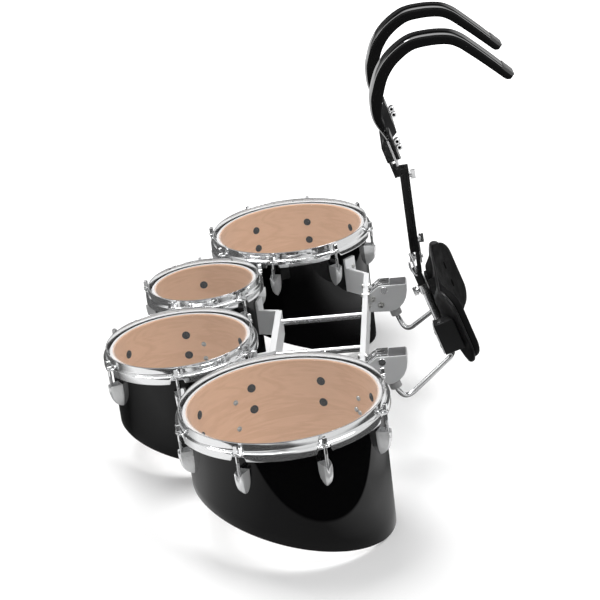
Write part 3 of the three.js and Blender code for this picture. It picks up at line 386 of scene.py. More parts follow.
# maple: long flat figure round the shell, fine fibres along it, on the shell's own pattern in
# metres; it is redder to the camera than the light it passes on to its neighbours
maple, tree, shader = new_material("clear_maple", roughness=0.45, ior=1.45)
figure = stretched_noise(tree, (3.2, 17, 1), 1.6, 3, 1.4)
fibres = stretched_noise(tree, (18, 420, 1), 1, 4)
waves = worked_out(tree, "SINE", worked_out(tree, "MULTIPLY", figure, 34))
tone = worked_out(tree, "MULTIPLY_ADD", waves, 0.17, 0.2)
tone = worked_out(tree, "MULTIPLY_ADD", fibres, 0.55, tone)
maple_tones = new_node(tree, "ValToRGB", fac=tone)
maple_tones.color_ramp.elements[0].color = (0.68, 0.385, 0.232, 1)
maple_tones.color_ramp.elements[1].color = (0.85, 0.52, 0.335, 1)
seen_by_camera = new_node(tree, "LightPath").outputs["Is Camera Ray"]
plain_tone = (0.68, 0.66, 0.65, 1)
both_tones = blended(tree, "MIX", plain_tone, maple_tones.outputs["Color"], seen_by_camera)
give_named(tree, shader, base_color=both_tones)
bumpy(tree, shader, 0.08, 0.0003, fibres)


def shell_sheet(drum):
    """The wall's outline carried round: the height of a point is a share of the way from the
    slanted cut, -depth - slope * x, to the bearing edge; returns the sheet and its zones."""
    outer, inner = drum["radius"], drum["radius"] - shell_wall
    outside = [(outer, share, 0) for share in np.linspace(cut_share, 1, 9)]
    bead = [(outer - edge_round * (1 - math.cos(a)), 1, edge_round * math.sin(a))
            for a in np.linspace(0.3, math.pi / 2, 5)]
    bevel = [(inner + 2.4, 1, 2.1), (inner + 0.7, 1, 1.3), (inner + 0.1, 1, 0.3), (inner, 1, -0.4),
             (inner, 1, -inner_drop)]
    inside = [(inner, share, -inner_drop) for share in np.linspace(0.97, cut_share, 9)]
    cut = [(inner + 0.4, 0, 0), (inner + 2, 0, 0), (outer - 2, 0, 0), (outer - 0.4, 0, 0)]
    outline = np.array(outside + bead + bevel + inside + cut + outside[:1])
    angle = round_angles()
    radius, share, lift = (outline[:, i:i + 1] for i in range(3))
    cut_height = -drum["depth"] - bottom_slope * (radius * np.cos(angle))
    top = -edge_drop - edge_round
    z = share * top + (1 - share) * cut_height + lift * np.minimum(share * 4, 1)
    uv = np.stack([angle * radius * millimetre, z * millimetre], -1)
    zone = np.zeros(len(outline) - 1, int)
    first = len(outside) + len(bead) - 2
    zone[first:first + len(bevel) + len(inside) + 2] = 1
    return carried_round(radius, z, angle, drum_frame(drum), uv), np.repeat(zone, angle.size - 1)


for size, drum in drums.items():
    sheet, zone = shell_sheet(drum)
    add_piece(f"drum_shell_{size}", [sheet], [lacquer, maple], "drums", [f"shell_{size}"], [zone])


# Lugs. Each is a hollow chromed casting screwed to the shell, wide at its top, where the tension
# rod enters, and drawn down to a point, with a crease down its middle. The shell's CAD node has
# the lugs on it, so they ride with the shell.
lug_top, lug_height, lug_half_width, lug_depth = 48, 45, 9.8, 22.5
groove_half, notch_depth, notch_half, cup_depth = 4.5, 10, 7, 16
chrome = cloudy_finish("chrome", (0.88, 0.885, 0.89), (40, 0.03, 0.08), (70, 0.03, 0.0005), metallic=0.9)
lug_finish = cloudy_finish("chromed_casting", (0.95, 0.955, 0.96), (90, 0.06, 0.2), (260, 0.35, 0.0007),
                           metallic=0.62)


def lug_bearings(drum):
    """Directions of the lugs round a drum, in degrees."""
    return drum["turn"] + 360 * np.arange(drum["lugs"]) / drum["lugs"]


def lug_sheets(place):
    """Rings down the lug: a flat back, two sides that lean in and two fronts that meet at a
    ridge. Width and depth shrink as (1 - t^3.2)^0.9 and (1 - t^3)^0.75 down the height t. A
    groove runs down the ridge from the notch at the top and fades out at half height. The top
    is open to a flat-floored cup that the rod enters."""
    down = np.r_[np.linspace(0, 0.9, 25), 0.94, 0.97, 0.99, 1][:, None]
    across = np.r_[np.linspace(-1, -0.74, 5), np.linspace(-0.7, 0.7, 25), np.linspace(0.74, 1, 5)][None, :]
    ridge = 0.9 + 0.1 * (1 - np.abs(across) / 0.72).clip(0, 1)
    front = np.clip(1 - (np.abs(across) - 0.72) / 0.28, 0, 1) * ridge
    y = lug_half_width * across * (1 - down ** 3.2) ** 0.9
    groove = groove_half * np.clip(1 - np.abs(y) / groove_half, 0, 1) * np.clip(1 - down * 2, 0, 1)
    x = lug_depth * (1 - down ** 3) ** 0.75 * front - groove * (front > 0.5)
    notch = notch_depth * np.clip(1 - np.abs(y) / notch_half, 0, 1) * np.clip((x - 10) / 6, 0, 1)
    z = -lug_top - lug_height * down - notch * np.clip(1 - down * 3.2, 0, 1)
    back = np.full((len(down), 1), -1.0)
    x = np.hstack([back, x, back, back])
    y = np.hstack([y[:, :1], y, y[:, -1:], y[:, :1]])
    z = np.hstack([z[:, :1], z, z[:, -1:], z[:, :1]])
    outside = np.stack([x, y, z], -1)
    rim = outside[:1]
    centre = np.array([lug_depth * 0.45, 0, 0])
    lip = (rim - centre) * np.array([0.84, 0.84, 1]) + centre
    floor_ring = lip.copy()
    floor_ring[..., 2] = -lug_top - cup_depth
    middle = np.broadcast_to(centre + [0, 0, -lug_top - cup_depth], rim.shape)
    cup = np.concatenate([rim, lip, floor_ring, middle])
    return [skin(in_row(outside, place)), skin(in_row(cup, place))]


for size, drum in drums.items():
    sheets = []
    for bearing in lug_bearings(drum):
        sheets += lug_sheets(drum_frame(drum) @ turned(bearing) @ shifted(drum["radius"], 0, 0))
    add_piece(f"lugs_{size}", sheets, [lug_finish], "drums")


# Screws inside the shells. A screw on a black washer holds each lug at two heights, and plain
# steel screws hold the flanges of the frame and the links.
washer_levels = (-49, -89)
washer_and_shade_black = cloudy_finish("black_washer_and_slot_shade", (0.012, 0.012, 0.012), (120, 0.4, 0.6))
steel = cloudy_finish("zinc_screw", (0.62, 0.62, 0.6), (200, 0.22, 0.4), metallic=1)
disc_steps = 20
washer_outline = [(0, 3.4), (2.6, 3.2), (3.6, 2.4), (3.7, 1.7), (6.6, 1.5), (7.4, 1.1), (7.6, 0.4),
                  (7.6, -0.6), (0, -0.6)]
screw_outline = [(0, 1.5), (0.9, 1.5), (1.1, 2.5), (2.6, 2.4), (4, 1.7), (4.6, 0.5), (4.6, -0.6), (0, -0.6)]
# bearing and heights of the bracket screws that show inside each shell
bracket_screws = {
    "13": [(127, (-66, -116)), (41.5, (-67, -94)), (44.5, (-90, -116))],
    "10": [(78.7, (-69, -98)), (-54.5, (-78, -104)), (12, (-78, -104))],
    "8": [(-93, (-78, -104)), (59.5, (-78, -104)), (-11, (-78, -104))],
    "12": [(-120, (-78, -104)), (-39, (-78, -104))],
}


def wall_disc(drum, bearing, level, outline):
    """An outline turned about a line that points in from the shell's inner wall."""
    at_wall = shifted(drum["radius"] - shell_wall, 0, level)
    return turned_profile(outline, disc_steps, drum_frame(drum) @ turned(bearing) @ at_wall @ leaning(-90))


for size, drum in drums.items():
    washers = [wall_disc(drum, bearing, level, washer_outline)
               for bearing in lug_bearings(drum) for level in washer_levels]
    add_piece(f"lug_washers_{size}", washers, [washer_and_shade_black], "drums")
    screws = [wall_disc(drum, bearing, level, screw_outline)
              for bearing, levels in bracket_screws[size] for level in levels]
    add_piece(f"bracket_screws_{size}", screws, [steel], "drums")


# Counterhoops and tension rods. A hoop is rolled steel, chromed: a lip that stands above the
# head, a ledge that the rods pull on, and a skirt that is open at each rod. The rods have square
# key heads on round washers and screw into the lugs.
hoop_steps, hoop_gap, ear_half, rim_ease, least_hang = 480, 8.5, 5, 5, 0.4
key_half, rod_reach, rod_radius, rod_end = 3.2, 16, 2.9, 58
thread_start, thread_pitch, thread_depth, thread_points = 30, 0.6, 0.25, 34


def smooth_step(value):
    """0 below 0, 1 above 1, and 3t^2 - 2t^3 between."""
    t = np.clip(value, 0, 1)
    return t * t * (3 - 2 * t)


def hoop_sheet(drum):
    """The hoop's outline carried round, as (reach beyond the shell, share of the way to the
    ledge's edge, level, share of the skirt's hang). The ledge's edge stands further out in an
    ear at each rod, and the skirt rises to the ledge there, by smooth steps along the rim."""
    wall, ledge_edge, ear, hang = 7.2, 12.6, 7.2, 12.6
    outline = np.array([
        (4.5, 0, -15.6, 0), (4.5, 0, -2, 0), (4.6, 0, -0.9, 0), (5.1, 0, -0.2, 0), (5.7, 0, -0.1, 0),
        (6.1, 0, -0.6, 0), (6.3, 0, -1.6, 0), (6.6, 0, -4, 0), (6.9, 0, -7, 0), (wall, 0, -11, 0),
        (wall + 0.2, 0, -13.4, 0), (wall, 0.12, -14.7, 0), (wall, 0.4, -15.3, 0), (wall, 0.8, -15.6, 0),
        (wall, 0.95, -16, 0), (wall, 1, -16.9, 0), (wall, 1, -17.3, 0.5), (wall + 0.15, 1, -17.3, 0.85),
        (wall, 1, -17.3, 0.96), (wall - 0.6, 1, -17.3, 1), (wall - 1.4, 1, -17.3, 1),
        (wall - 2, 1, -17.3, 0.94), (wall - 2, 1, -17.3, 0.5), (wall - 2, 1, -17.5, 0.02),
        (wall - 1, 0.6, -17.8, 0), (4.9, 0, -17.8, 0), (4.5, 0, -17.2, 0), (4.5, 0, -15.6, 0),
    ])
    angle = round_angles(hoop_steps)
    bearings = np.radians(lug_bearings(drum))
    apart = np.abs((angle[:, None] - bearings[None, :] + math.pi) % (2 * math.pi) - math.pi).min(1)
    along = apart * (drum["radius"] + ledge_edge)
    edge = ledge_edge + ear * (1 - smooth_step((along - ear_half) / rim_ease))
    drop = least_hang + (hang - least_hang) * smooth_step((along - hoop_gap) / rim_ease)
    reach, share, level, hung = (outline[:, i:i + 1] for i in range(4))
    radius = drum["radius"] + reach + share * (edge - wall)
    return carried_round(radius, level - hung * drop, angle, drum_frame(drum))


def rod_sheets(place):
    """A washer and a threaded rod turned about z, and a four-sided key with its top edge eased."""
    thread = [(rod_radius - thread_depth * (i % 2), -thread_start - thread_pitch * i)
              for i in range(thread_points)]
    outline = [(0, -13.6), (4.9, -13.6), (5.4, -14), (5.4, -15), (rod_radius + 1, -15.6), (rod_radius, -16.5)]
    rod = outline + [(rod_radius, -29)] + thread + [(rod_radius - 0.3, -rod_end), (0, -rod_end)]
    corner = key_half * math.sqrt(2)
    key = [(0, -0.6), (corner * 0.72, -0.6), (corner, -1.6), (corner, -11.4), (corner * 1.2, -12.1),
           (corner * 1.2, -13.8), (0, -13.8)]
    return [turned_profile(rod, 14, place), turned_profile(key, 4, place)]


for size, drum in drums.items():
    add_piece(f"counterhoop_{size}", [hoop_sheet(drum)], [chrome], "drums", [f"hoop_{size}"])
    sheets = []
    for bearing in lug_bearings(drum):
        spin = turned(bearing) @ shifted(drum["radius"] + rod_reach, 0, 0) @ turned(45)
        sheets += rod_sheets(drum_frame(drum) @ spin)
    add_piece(f"tension_rods_{size}", sheets, [chrome], "drums")


# Drum heads. Clear film, drawn over the bearing edge into a collar, held in an aluminium flesh
# hoop that the counterhoop presses down. The collar's pale line is a painted highlight: the film is
# drawn whiter and less clear towards the bend.
film, tree, shader = new_material(
    "clear_film", base_color=(0.9, 0.9, 0.9, 1), roughness=0.12, ior=1.5)
parts = new_node(tree, "SeparateXYZ", vector=own_pattern(tree))
# the collar's highlight is painted: the film turns whiter and less clear towards the bend
collar_highlight = new_node(tree, "MapRange", value=parts.outputs["X"], to_min=0.004, to_max=0.72)
collar_highlight.interpolation_type = "SMOOTHSTEP"
grazing = new_node(tree, "LayerWeight", blend=0.25)
veil_and_highlight = worked_out(tree, "MULTIPLY_ADD", grazing.outputs["Fresnel"], 0.03, collar_highlight.outputs["Result"])
veil_and_highlight.node.use_clamp = True
give_named(tree, shader, alpha=veil_and_highlight)


def head_sheet(drum):
    """The film's outline turned about the drum's axis; across it the pattern rises from 0 on the
    flat film to 1 at the bend over the bearing edge, where it paints the collar's highlight."""
    r = drum["radius"]
    top = [(0, -8.15, 0), (r * 0.5, -8.15, 0), (r - 10, -8.15, 0), (r - 7, -8.15, 0.25),
           (r - 4.6, -8.2, 0.6), (r - 2.6, -8.3, 1), (r - 0.6, -8.75, 1), (r + 0.7, -9.9, 0.3),
           (r + 1.1, -11.6, 0), (r + 1.1, -17.8, 0), (r + 2.8, -18, 0)]
    below = [(r + 2.8, -18.3, 0), (r + 0.8, -18.1, 0), (r + 0.8, -11.7, 0), (r + 0.4, -10.2, 0.3),
             (r - 0.8, -9.05, 1), (r - 2.6, -8.6, 1), (r - 4.6, -8.5, 0.6), (r - 7, -8.45, 0.25),
             (r - 10, -8.45, 0), (r * 0.5, -8.45, 0), (0, -8.45, 0)]
    outline = np.array(top + below)
    angle = round_angles()
    uv = np.stack(np.broadcast_arrays(outline[:, 2:3], angle / 7), -1)
    return carried_round(outline[:, :1], outline[:, 1:2], angle, drum_frame(drum), uv)


satin = cloudy_finish("satin_aluminium", (0.8, 0.8, 0.81), (120, 0.3, 0.42), metallic=0.85)

for size, drum in drums.items():
    add_piece(f"head_film_{size}", [head_sheet(drum)], [film], "drums", [f"head_{size}"])
    r = drum["radius"]
    ring = [(r + 2.9, -18.2), (r + 9.7, -18.2), (r + 10.2, -18.7), (r + 10.2, -23.4), (r + 9.7, -24),
            (r + 3.4, -24), (r + 2.9, -23.4), (r + 2.9, -18.2)]
    ring_sheet = turned_profile(ring, round_steps, drum_frame(drum))
    add_piece(f"flesh_hoop_{size}", [ring_sheet], [satin], "drums")


# Frame. Flat aluminium bars across the set with end plates bent onto the shells, joined by two
# tubes, and short links between neighbouring shells. All are bright, with eased edges and bolts.
plate_white = cloudy_finish("bright_aluminium", (0.8, 0.805, 0.81), (60, 0.32, 0.48), (900, 0.05, 0.0002),
                            metallic=0.15)


def eased(node, name, material, body, radius, crease=35, flat=3):
    """A copy of a CAD solid with its corners merged, flat faces dissolved and edges rounded."""
    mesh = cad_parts[node].data.copy()
    mesh.name = name
    mesh.materials.clear()
    mesh.materials.append(material)
    work = bmesh.new()
    work.from_mesh(mesh)
    bmesh.ops.remove_doubles(work, verts=work.verts, dist=1e-5)
    bmesh.ops.dissolve_limit(work, angle_limit=math.radians(flat), verts=work.verts, edges=work.edges)
    work.to_mesh(mesh)
    work.free()
    mesh.polygons.foreach_set("material_index", np.zeros(len(mesh.polygons), np.int32))
    piece = finish_mesh(name, mesh, body, [node], crease)
    rounding = piece.modifiers.new("eased_edges", "BEVEL")
    rounding.width = radius * millimetre
    rounding.segments = 2
    rounding.limit_method = "ANGLE"
    rounding.angle_limit = math.radians(crease)
    return piece


for node in ["rear_bar", "front_bar", "link_left", "link_middle", "link_right"]:
    eased(node, f"{node}_plate", plate_white, "drums", 0.6)
flange_drum, flange_bearing, flange_sheet = drums["12"], -36.9, 5
pan_head = [(0, 2.2), (1.4, 2.2), (1.8, 3), (3.4, 2.6), (4.6, 1.4), (5, 0), (5, -0.6), (0, -0.6)]
screws = []
for level in (-66, -95):
    at_flange = shifted(flange_drum["radius"] + flange_sheet, 0, level)
    outward = drum_frame(flange_drum) @ turned(flange_bearing) @ at_flange @ leaning(90)
    screws.append(turned_profile(pan_head, disc_steps, outward))
add_piece("flange_screws", screws, [steel], "drums")

# the tubes reach from bar to bar
front_bar_x, front_bar_half, rear_bar_x, rear_bar_half = -28, 6, 137, 5
seat_gap = 0.3
tube_radius, tube_wall, tube_ease, tube_y, tube_level = 6.35, 1.6, 0.3, 76, -75
tube_low, tube_high = front_bar_x + front_bar_half + seat_gap, rear_bar_x - rear_bar_half - seat_gap
tube_bore = tube_radius - tube_wall
tube_outline = [
    (tube_bore, tube_low), (tube_radius - tube_ease, tube_low), (tube_radius, tube_low + tube_ease),
    (tube_radius, tube_high - tube_ease), (tube_radius - tube_ease, tube_high), (tube_bore, tube_high),
    (tube_bore, tube_low),
]
both_sides = {"left": -1, "right": 1}
for side, sign in both_sides.items():
    place = set_frame @ shifted(0, sign * tube_y, tube_level) @ leaning(90)
    tube = turned_profile(tube_outline, 32, place)
    add_piece(f"tube_{side}", [tube], [chrome], "drums", [f"cross_tube_{side}"])


# Receivers. Cast sockets bolted to the rear bar, each with a bent steel plate over its sloped
# top, a round clamp screw in its left side and a collar below, where a J-rod comes in.
casting = cloudy_finish("cast_aluminium", (0.62, 0.625, 0.63), (30, 0.38, 0.55), (500, 0.12, 0.0003),
                        metallic=0.5)
grey_cast = cloudy_finish("grey_collar", (0.3, 0.3, 0.3), (80, 0.4, 0.6), metallic=0.3)


def rounded_outline(width, height, corner, steps=12):
    """Points round a rectangle with round corners, from the middle of its right side."""
    angle = np.linspace(0, math.pi / 2, steps + 1)
    x, y = width / 2 - corner, height / 2 - corner
    quarters = []
    for turn, (cx, cy) in enumerate([(x, y), (-x, y), (-x, -y), (x, -y)]):
        a = angle + turn * math.pi / 2
        quarters.append(np.stack([cx + corner * np.cos(a), cy + corner * np.sin(a)], -1))
    loop = np.vstack(quarters)
    return np.vstack([loop, loop[:1]])


def at_level(loop, level):
    """A flat loop of points at a level."""
    return np.column_stack([loop, np.full(len(loop), level)])


def block_sheets(low, high, ease, place):
    """A box with eased edges: rings of a rounded rectangle, drawn in at both ends, and closed."""
    low, high = np.array(low, float), np.array(high, float)
    middle, size = (low + high) / 2, high - low
    rings = []
    for level, inset in [(low[2], ease), (low[2] + ease, 0), (high[2] - ease, 0), (high[2], ease)]:
        loop = rounded_outline(size[0] - 2 * inset, size[1] - 2 * inset, ease, 4)
        rings.append(at_level(loop + middle[:2], level))
    bottom, top = (at_level(np.zeros(loop.shape) + middle[:2], level) for level in (low[2], high[2]))
    return skin(in_row([bottom, *rings, top], place))


def tipped(degrees):
    """A frame turned about x; a positive turn brings z towards -y."""
    c, s = math.cos(math.radians(degrees)), math.sin(math.radians(degrees))
    return np.array([[1, 0, 0, 0], [0, c, -s, 0], [0, s, c, 0], [0, 0, 0, 1]])


# a dull dark steel sheet on each casting's top, beside the bent plate, is a painted dark reflection; the
# plate has a slot with a raised rim
painted_dark_top = cloudy_finish("painted_dark_top_sheet", (0.16, 0.16, 0.165), (60, 0.3, 0.5), metallic=0.6)
receiver_y, receiver_half = 165, 18
receiver_face = rear_bar_x + rear_bar_half + seat_gap
lid_start, lid_end, lid_half, lid_low, lid_high = 43, 73, 16.5, -48.6, -47
slot_rim_levels = [(0, -45.4), (0, -44.7), (1, -44.7), (1, -45.2), (0, -45.4)]
slot_x, slot_shade_level = 172, -45.1
side_bolts = [(165, -87), (150, -74)]
bar_bolts = [(-24, -85), (-24, -62), (24, -85), (24, -62)]
hex_steps = 6
side_head = [(0, 3.6), (3.4, 3.6), (4.4, 3), (4.6, -0.5), (0, -0.5)]
side_washer = [(0, 0.9), (6, 0.9), (6.4, 0.5), (6.4, -0.3), (0, -0.3)]
bar_nut = [(0, 4), (3.6, 4), (4.6, 3.3), (4.8, -0.5), (0, -0.5)]
bar_head = [(0, 3.2), (3, 3), (4.4, 1.6), (4.8, 0), (4.8, -0.5), (0, -0.5)]
for side, sign in both_sides.items():
    y = sign * receiver_y
    # the dark sheet on the top paints a dark reflection there
    lid = block_sheets((receiver_face + lid_start, y - lid_half, lid_low),
                       (receiver_face + lid_end, y + lid_half, lid_high), 0.5, set_frame)
    add_piece(f"receiver_painted_dark_top_{side}", [lid], [painted_dark_top], "drums")
    ovals = [rounded_outline(14.5, 8, 3.9, 8) + [slot_x, y], rounded_outline(12.5, 6, 2.9, 8) + [slot_x, y]]
    rows = [at_level(ovals[which], z) for which, z in slot_rim_levels]
    add_piece(f"slot_rim_{side}", [skin(in_row(np.array(rows)))], [chrome], "drums")
    # the slot's dark floor is painted shade: a black sheet just under the rim stands for the depth of the
    # hole
    slot_shade_rows = [rows[3] + [0, 0, 0.1], np.broadcast_to([slot_x, y, slot_shade_level], rows[0].shape)]
    add_piece(f"slot_painted_shade_{side}", [skin(in_row(slot_shade_rows))], [washer_and_shade_black], "drums")
    bolts = []
    for x, z in side_bolts:
        outward = set_frame @ shifted(x, y - receiver_half, z) @ tipped(90)
        bolts.append(turned_profile(side_head, hex_steps, outward))
        bolts.append(turned_profile(side_washer, disc_steps, outward))
    add_piece(f"receiver_bolts_{side}", bolts, [steel], "drums")
    bolts = []
    for away, z in bar_bolts:
        outward = set_frame @ shifted(rear_bar_x + rear_bar_half, y + away, z) @ leaning(90)
        bolts.append(turned_profile(bar_nut, hex_steps, outward))
        outward = set_frame @ shifted(rear_bar_x - rear_bar_half, y + away, z) @ leaning(-90)
        bolts.append(turned_profile(bar_head, disc_steps, outward))
    add_piece(f"bar_bolts_{side}", bolts, [steel], "drums")

for side in both_sides:
    eased(f"receiver_{side}", f"receiver_body_{side}", casting, "drums", 1.6, crease=40)
    eased(f"receiver_plate_{side}", f"receiver_cover_{side}", chrome, "drums", 0.6)
    eased(f"stop_collar_{side}", f"rod_collar_{side}", grey_cast, "j_rods", 0.8)
    eased(f"receiver_screw_{side}", f"clamp_screw_{side}", chrome, f"receiver_screw_{side}", 0.8)


# Carrier frames. The carrier hangs on the set turned a little about its spine; the belly plate
# and the chest plate each lean forward at the top.
spine_x, carrier_turn = 243.5, 3.1
belly_x, belly_z, belly_lean = 273.5, -38, 17
chest_x, chest_z, chest_lean = 222, 221, 16
carrier_frame = set_frame @ shifted(spine_x, 0, 0) @ turned(carrier_turn) @ shifted(-spine_x, 0, 0)
belly_frame = carrier_frame @ shifted(belly_x, 0, belly_z) @ leaning(-belly_lean)
chest_frame = carrier_frame @ shifted(chest_x, 0, chest_z) @ leaning(-chest_lean)


# J-rods. Chromed round bars, bent twice, that go up into the receivers at one end and into the
# belly plate's clamps at the other.
j_rod_radius, j_rod_lean, j_rod_ease = 4.6, 17, 0.8
entry_x, entry_z, inside_receiver, below_receiver = 191, -110, 46, 12
bend_x, bend_y, bend_z = 208, 149, -147
clamp_y, clamp_rod_x, clamp_bottom, clamp_height = 121, 3.5, -39.5, 60


def bent_path(corners, bends, steps=10):
    """Straight runs between corners, each inner corner replaced by a curve of the second degree
    that starts and ends a bend length away from it."""
    corners = np.asarray(corners, float)
    path = [corners[:1]]
    t = np.linspace(0, 1, steps + 1)[:, None]
    for bend, before, corner, after in zip(bends, corners[:-2], corners[1:-1], corners[2:]):
        start = corner + (before - corner) / np.linalg.norm(before - corner) * bend
        end = corner + (after - corner) / np.linalg.norm(after - corner) * bend
        path.append((1 - t) ** 2 * start + 2 * t * (1 - t) * corner + t ** 2 * end)
    path.append(corners[-1:])
    return np.vstack(path)


def tube_sheet(path, radii, steps=24):
    """A circle carried along a path, across the mean of the two runs that meet at each point."""
    path = np.asarray(path, float)
    runs = np.diff(path, axis=0)
    runs /= np.linalg.norm(runs, axis=1)[:, None]
    tangent = np.vstack([runs[:1], runs[1:] + runs[:-1], runs[-1:]])
    tangent /= np.linalg.norm(tangent, axis=1)[:, None]
    side = np.cross(tangent, [0, 1, 0])
    side /= np.linalg.norm(side, axis=1)[:, None]
    other = np.cross(tangent, side)
    angle = round_angles(steps)[None, :, None]
    radii = np.broadcast_to(radii, len(path))[:, None, None]
    return path[:, None] + radii * (np.cos(angle) * side[:, None] + np.sin(angle) * other[:, None])


def capped(path, radius, ease):
    """A path and radii that close to a point at both ends, with the end edges eased."""
    path = np.asarray(path, float)
    first = (path[1] - path[0]) / np.linalg.norm(path[1] - path[0]) * ease
    last = (path[-1] - path[-2]) / np.linalg.norm(path[-1] - path[-2]) * ease
    ends = [path[:1], path[:1], path[:1] + first]
    tails = [path[-1:] - last, path[-1:], path[-1:]]
    radii = [0, radius - ease, *[radius] * (len(path)), radius - ease, 0]
    return np.vstack([ends[0], ends[1] + first * 0.01, ends[2], path[1:-1],
                      tails[0], tails[1] - last * 0.01, tails[2]]), radii


for side, sign in both_sides.items():
    entry = np.array([entry_x, sign * receiver_y, entry_z])
    lean = math.radians(j_rod_lean)
    direction = np.array([math.sin(lean), 0, -math.cos(lean)])
    to_set = np.linalg.inv(set_frame) @ belly_frame
    clamp_levels = (clamp_bottom - 9, clamp_bottom + clamp_height - 0.6)
    upper = [to_set @ [clamp_rod_x, sign * clamp_y, z, 1] for z in clamp_levels]
    corners = [entry - inside_receiver * direction, entry + below_receiver * direction,
               [bend_x, sign * bend_y, bend_z], upper[0][:3], upper[1][:3]]
    rod = tube_sheet(*capped(bent_path(corners, [10, 20, 9]), j_rod_radius, j_rod_ease))
    add_piece(f"bent_rod_{side}", [skin(in_row(rod))], [chrome], "j_rods", [f"j_rod_{side}"])


# Belly plate. A sheet of black metal, curved round the player, with a clamp block for each J-rod
# and a round post bolted to its front.
plate_curve, plate_sheet, plate_width, plate_height, plate_corner = 325, 4, 324, 146, 38
black_metal = cloudy_finish("black_anodised", (0.006, 0.006, 0.0065), (40, 0.28, 0.4), (700, 0.04, 0.0002),
                            specular_ior_level=0.3)


def on_plate(across, up, rise):
    """A place on the curved plate: the distance along its curve, up it, and behind its front."""
    angle = across / plate_curve
    radius = plate_curve - rise
    return np.stack([plate_curve - radius * np.cos(angle), radius * np.sin(angle), up], -1)


def plate_sheets(outline, rings, middle=0, up=0):
    """Rings of an outline, each as a share of its size and a rise from the plate's front, about a
    middle at a distance across the plate and up it."""
    grid = np.array([
        on_plate(outline[:, 0] * share + middle, outline[:, 1] * share + up, np.full(len(outline), rise))
        for share, rise in rings
    ])
    return skin(in_row(grid, belly_frame))


plate_ease = 0.8
plate_rings = [(0, 0), (0.5, 0), (0.9, 0), (0.992, 0), (1, plate_ease)]
plate_rings += [(1, plate_sheet - plate_ease)] + [(share, plate_sheet) for share in (0.992, 0.9, 0.5, 0)]
plate = plate_sheets(rounded_outline(plate_width, plate_height, plate_corner), plate_rings)
add_piece("belly_sheet", [plate], [black_metal], "belly", ["belly_plate"])
# a grey jaw lies on the front of each clamp block
jaw_front, jaw_back, jaw_half, jaw_short = -10.4, -7.8, 13, 3
for side, sign in both_sides.items():
    eased(f"rod_clamp_{side}", f"clamp_block_{side}", black_metal, "belly", 1.2)
    y = sign * clamp_y
    jaw = block_sheets((jaw_front, y - jaw_half, clamp_bottom + jaw_short),
                       (jaw_back, y + jaw_half, clamp_bottom + clamp_height - jaw_short), 0.8, belly_frame)
    add_piece(f"clamp_jaw_{side}", [jaw], [casting], "belly")
eased("belly_post", "post", chrome, "belly", 0.8)
# a raised strip behind the post ends just below the ring's lowest place
backing = block_sheets((-3.1, -15, -60), (0.4, 15, 32.4), 1, belly_frame)
add_piece("post_backing", [backing], [black_metal], "belly")


# Belly pads. Slabs of black foam glued to the player's side of the plate, crowned, with the
# edges drawn in.
pad_gap_half, pad_rim, pad_corner = 8, 5, 34
foam = cloudy_finish("black_foam", (0.004, 0.004, 0.0042), (60, 0.55, 0.75), (800, 0.25, 0.0004),
                     specular_ior_level=0.08)
painted_recess_shade = cloudy_finish("painted_recess_shade", (0.0012, 0.0012, 0.0012), (60, 0.7, 0.9), specular_ior_level=0.02)
pad_width = plate_width / 2 - pad_gap_half - pad_rim
pad_outline = rounded_outline(pad_width, plate_height - 2 * pad_rim, pad_corner, 16)
pad_rings = [
    (0, 0.3), (0.4, 0.3), (0.8, 0.3), (0.955, 0.3), (0.975, 1), (0.99, 3), (1, 6), (1, 10), (0.99, 13),
    (0.965, 15.4), (0.93, 16.8), (0.88, 17.6), (0.78, 18.1), (0.6, 18.4), (0.4, 18.5), (0.2, 18.6), (0, 18.6),
]
# two dark patches on each pad's face are painted shade for its slots
slot_across, slot_levels = 99, (32, -6)
slot_rings = [(0, 22), (1, 22), (1, 22.9), (0.7, 22.95), (0, 22.95)]
for side, sign in both_sides.items():
    rings = [(share, plate_sheet + rise) for share, rise in pad_rings]
    cushion = plate_sheets(pad_outline, rings, sign * (pad_gap_half + pad_width / 2))
    pad = add_piece(f"belly_cushion_{side}", [cushion], [foam], "belly",
                    [f"belly_pad_{side}"], crease=60)
    slot_outline = rounded_outline(8, 15, 3.9, 6)
    slots = [plate_sheets(slot_outline, slot_rings, sign * slot_across, up) for up in slot_levels]
    add_piece(f"pad_slot_shade_{side}", slots, [painted_recess_shade], "belly")


# Height post fittings. A collar clamps on the post under the lower block, which carries the
# slider that goes up into the spine's channel.
eased("post_collar", "post_ring", chrome, "lower", 0.8)
lever_y, lever_radius, lever_bends = -13, 2, [4, 4, 3.4]
lever_paths = {
    "upper": [(233.6, 74.5), (237, 66), (239.6, 55), (242.6, 42), (243.6, 36)],
    "lower": [(232, 57.5), (232.6, 49), (236, 39), (241.5, 32), (244.5, 29.5)],
}
for name, path in lever_paths.items():
    corners = [(x, lever_y, z) for x, z in path]
    lever = tube_sheet(*capped(bent_path(corners, lever_bends), lever_radius, 0.6), 16)
    add_piece(f"clamp_lever_{name}", [skin(in_row(lever))], [chrome], "lower")
height_block = block_sheets((-14.6, -10.5, 51.4), (-0.6, 10.5, 84), 1.6, belly_frame)
add_piece("height_block", [height_block], [black_metal], "lower", ["lower_block"])
eased("slider", "slide_bar", black_metal, "lower", 0.5)
eased("rear_bracket", "slide_bracket", chrome, "lower", 0.4)
eased("bracket_screw", "bracket_bolt", chrome, "lower", 0.5)


# Spine. An upright black extrusion, grooved on its sides, with a cap and a screw on its top.
spine_black = cloudy_finish("spine_extrusion", (0.003, 0.003, 0.0035), (30, 0.2, 0.32),
                            specular_ior_level=0.4)
eased("spine", "spine_bar", spine_black, "spine", 0.7)
eased("spine_cap", "spine_top", black_metal, "spine", 0.7)


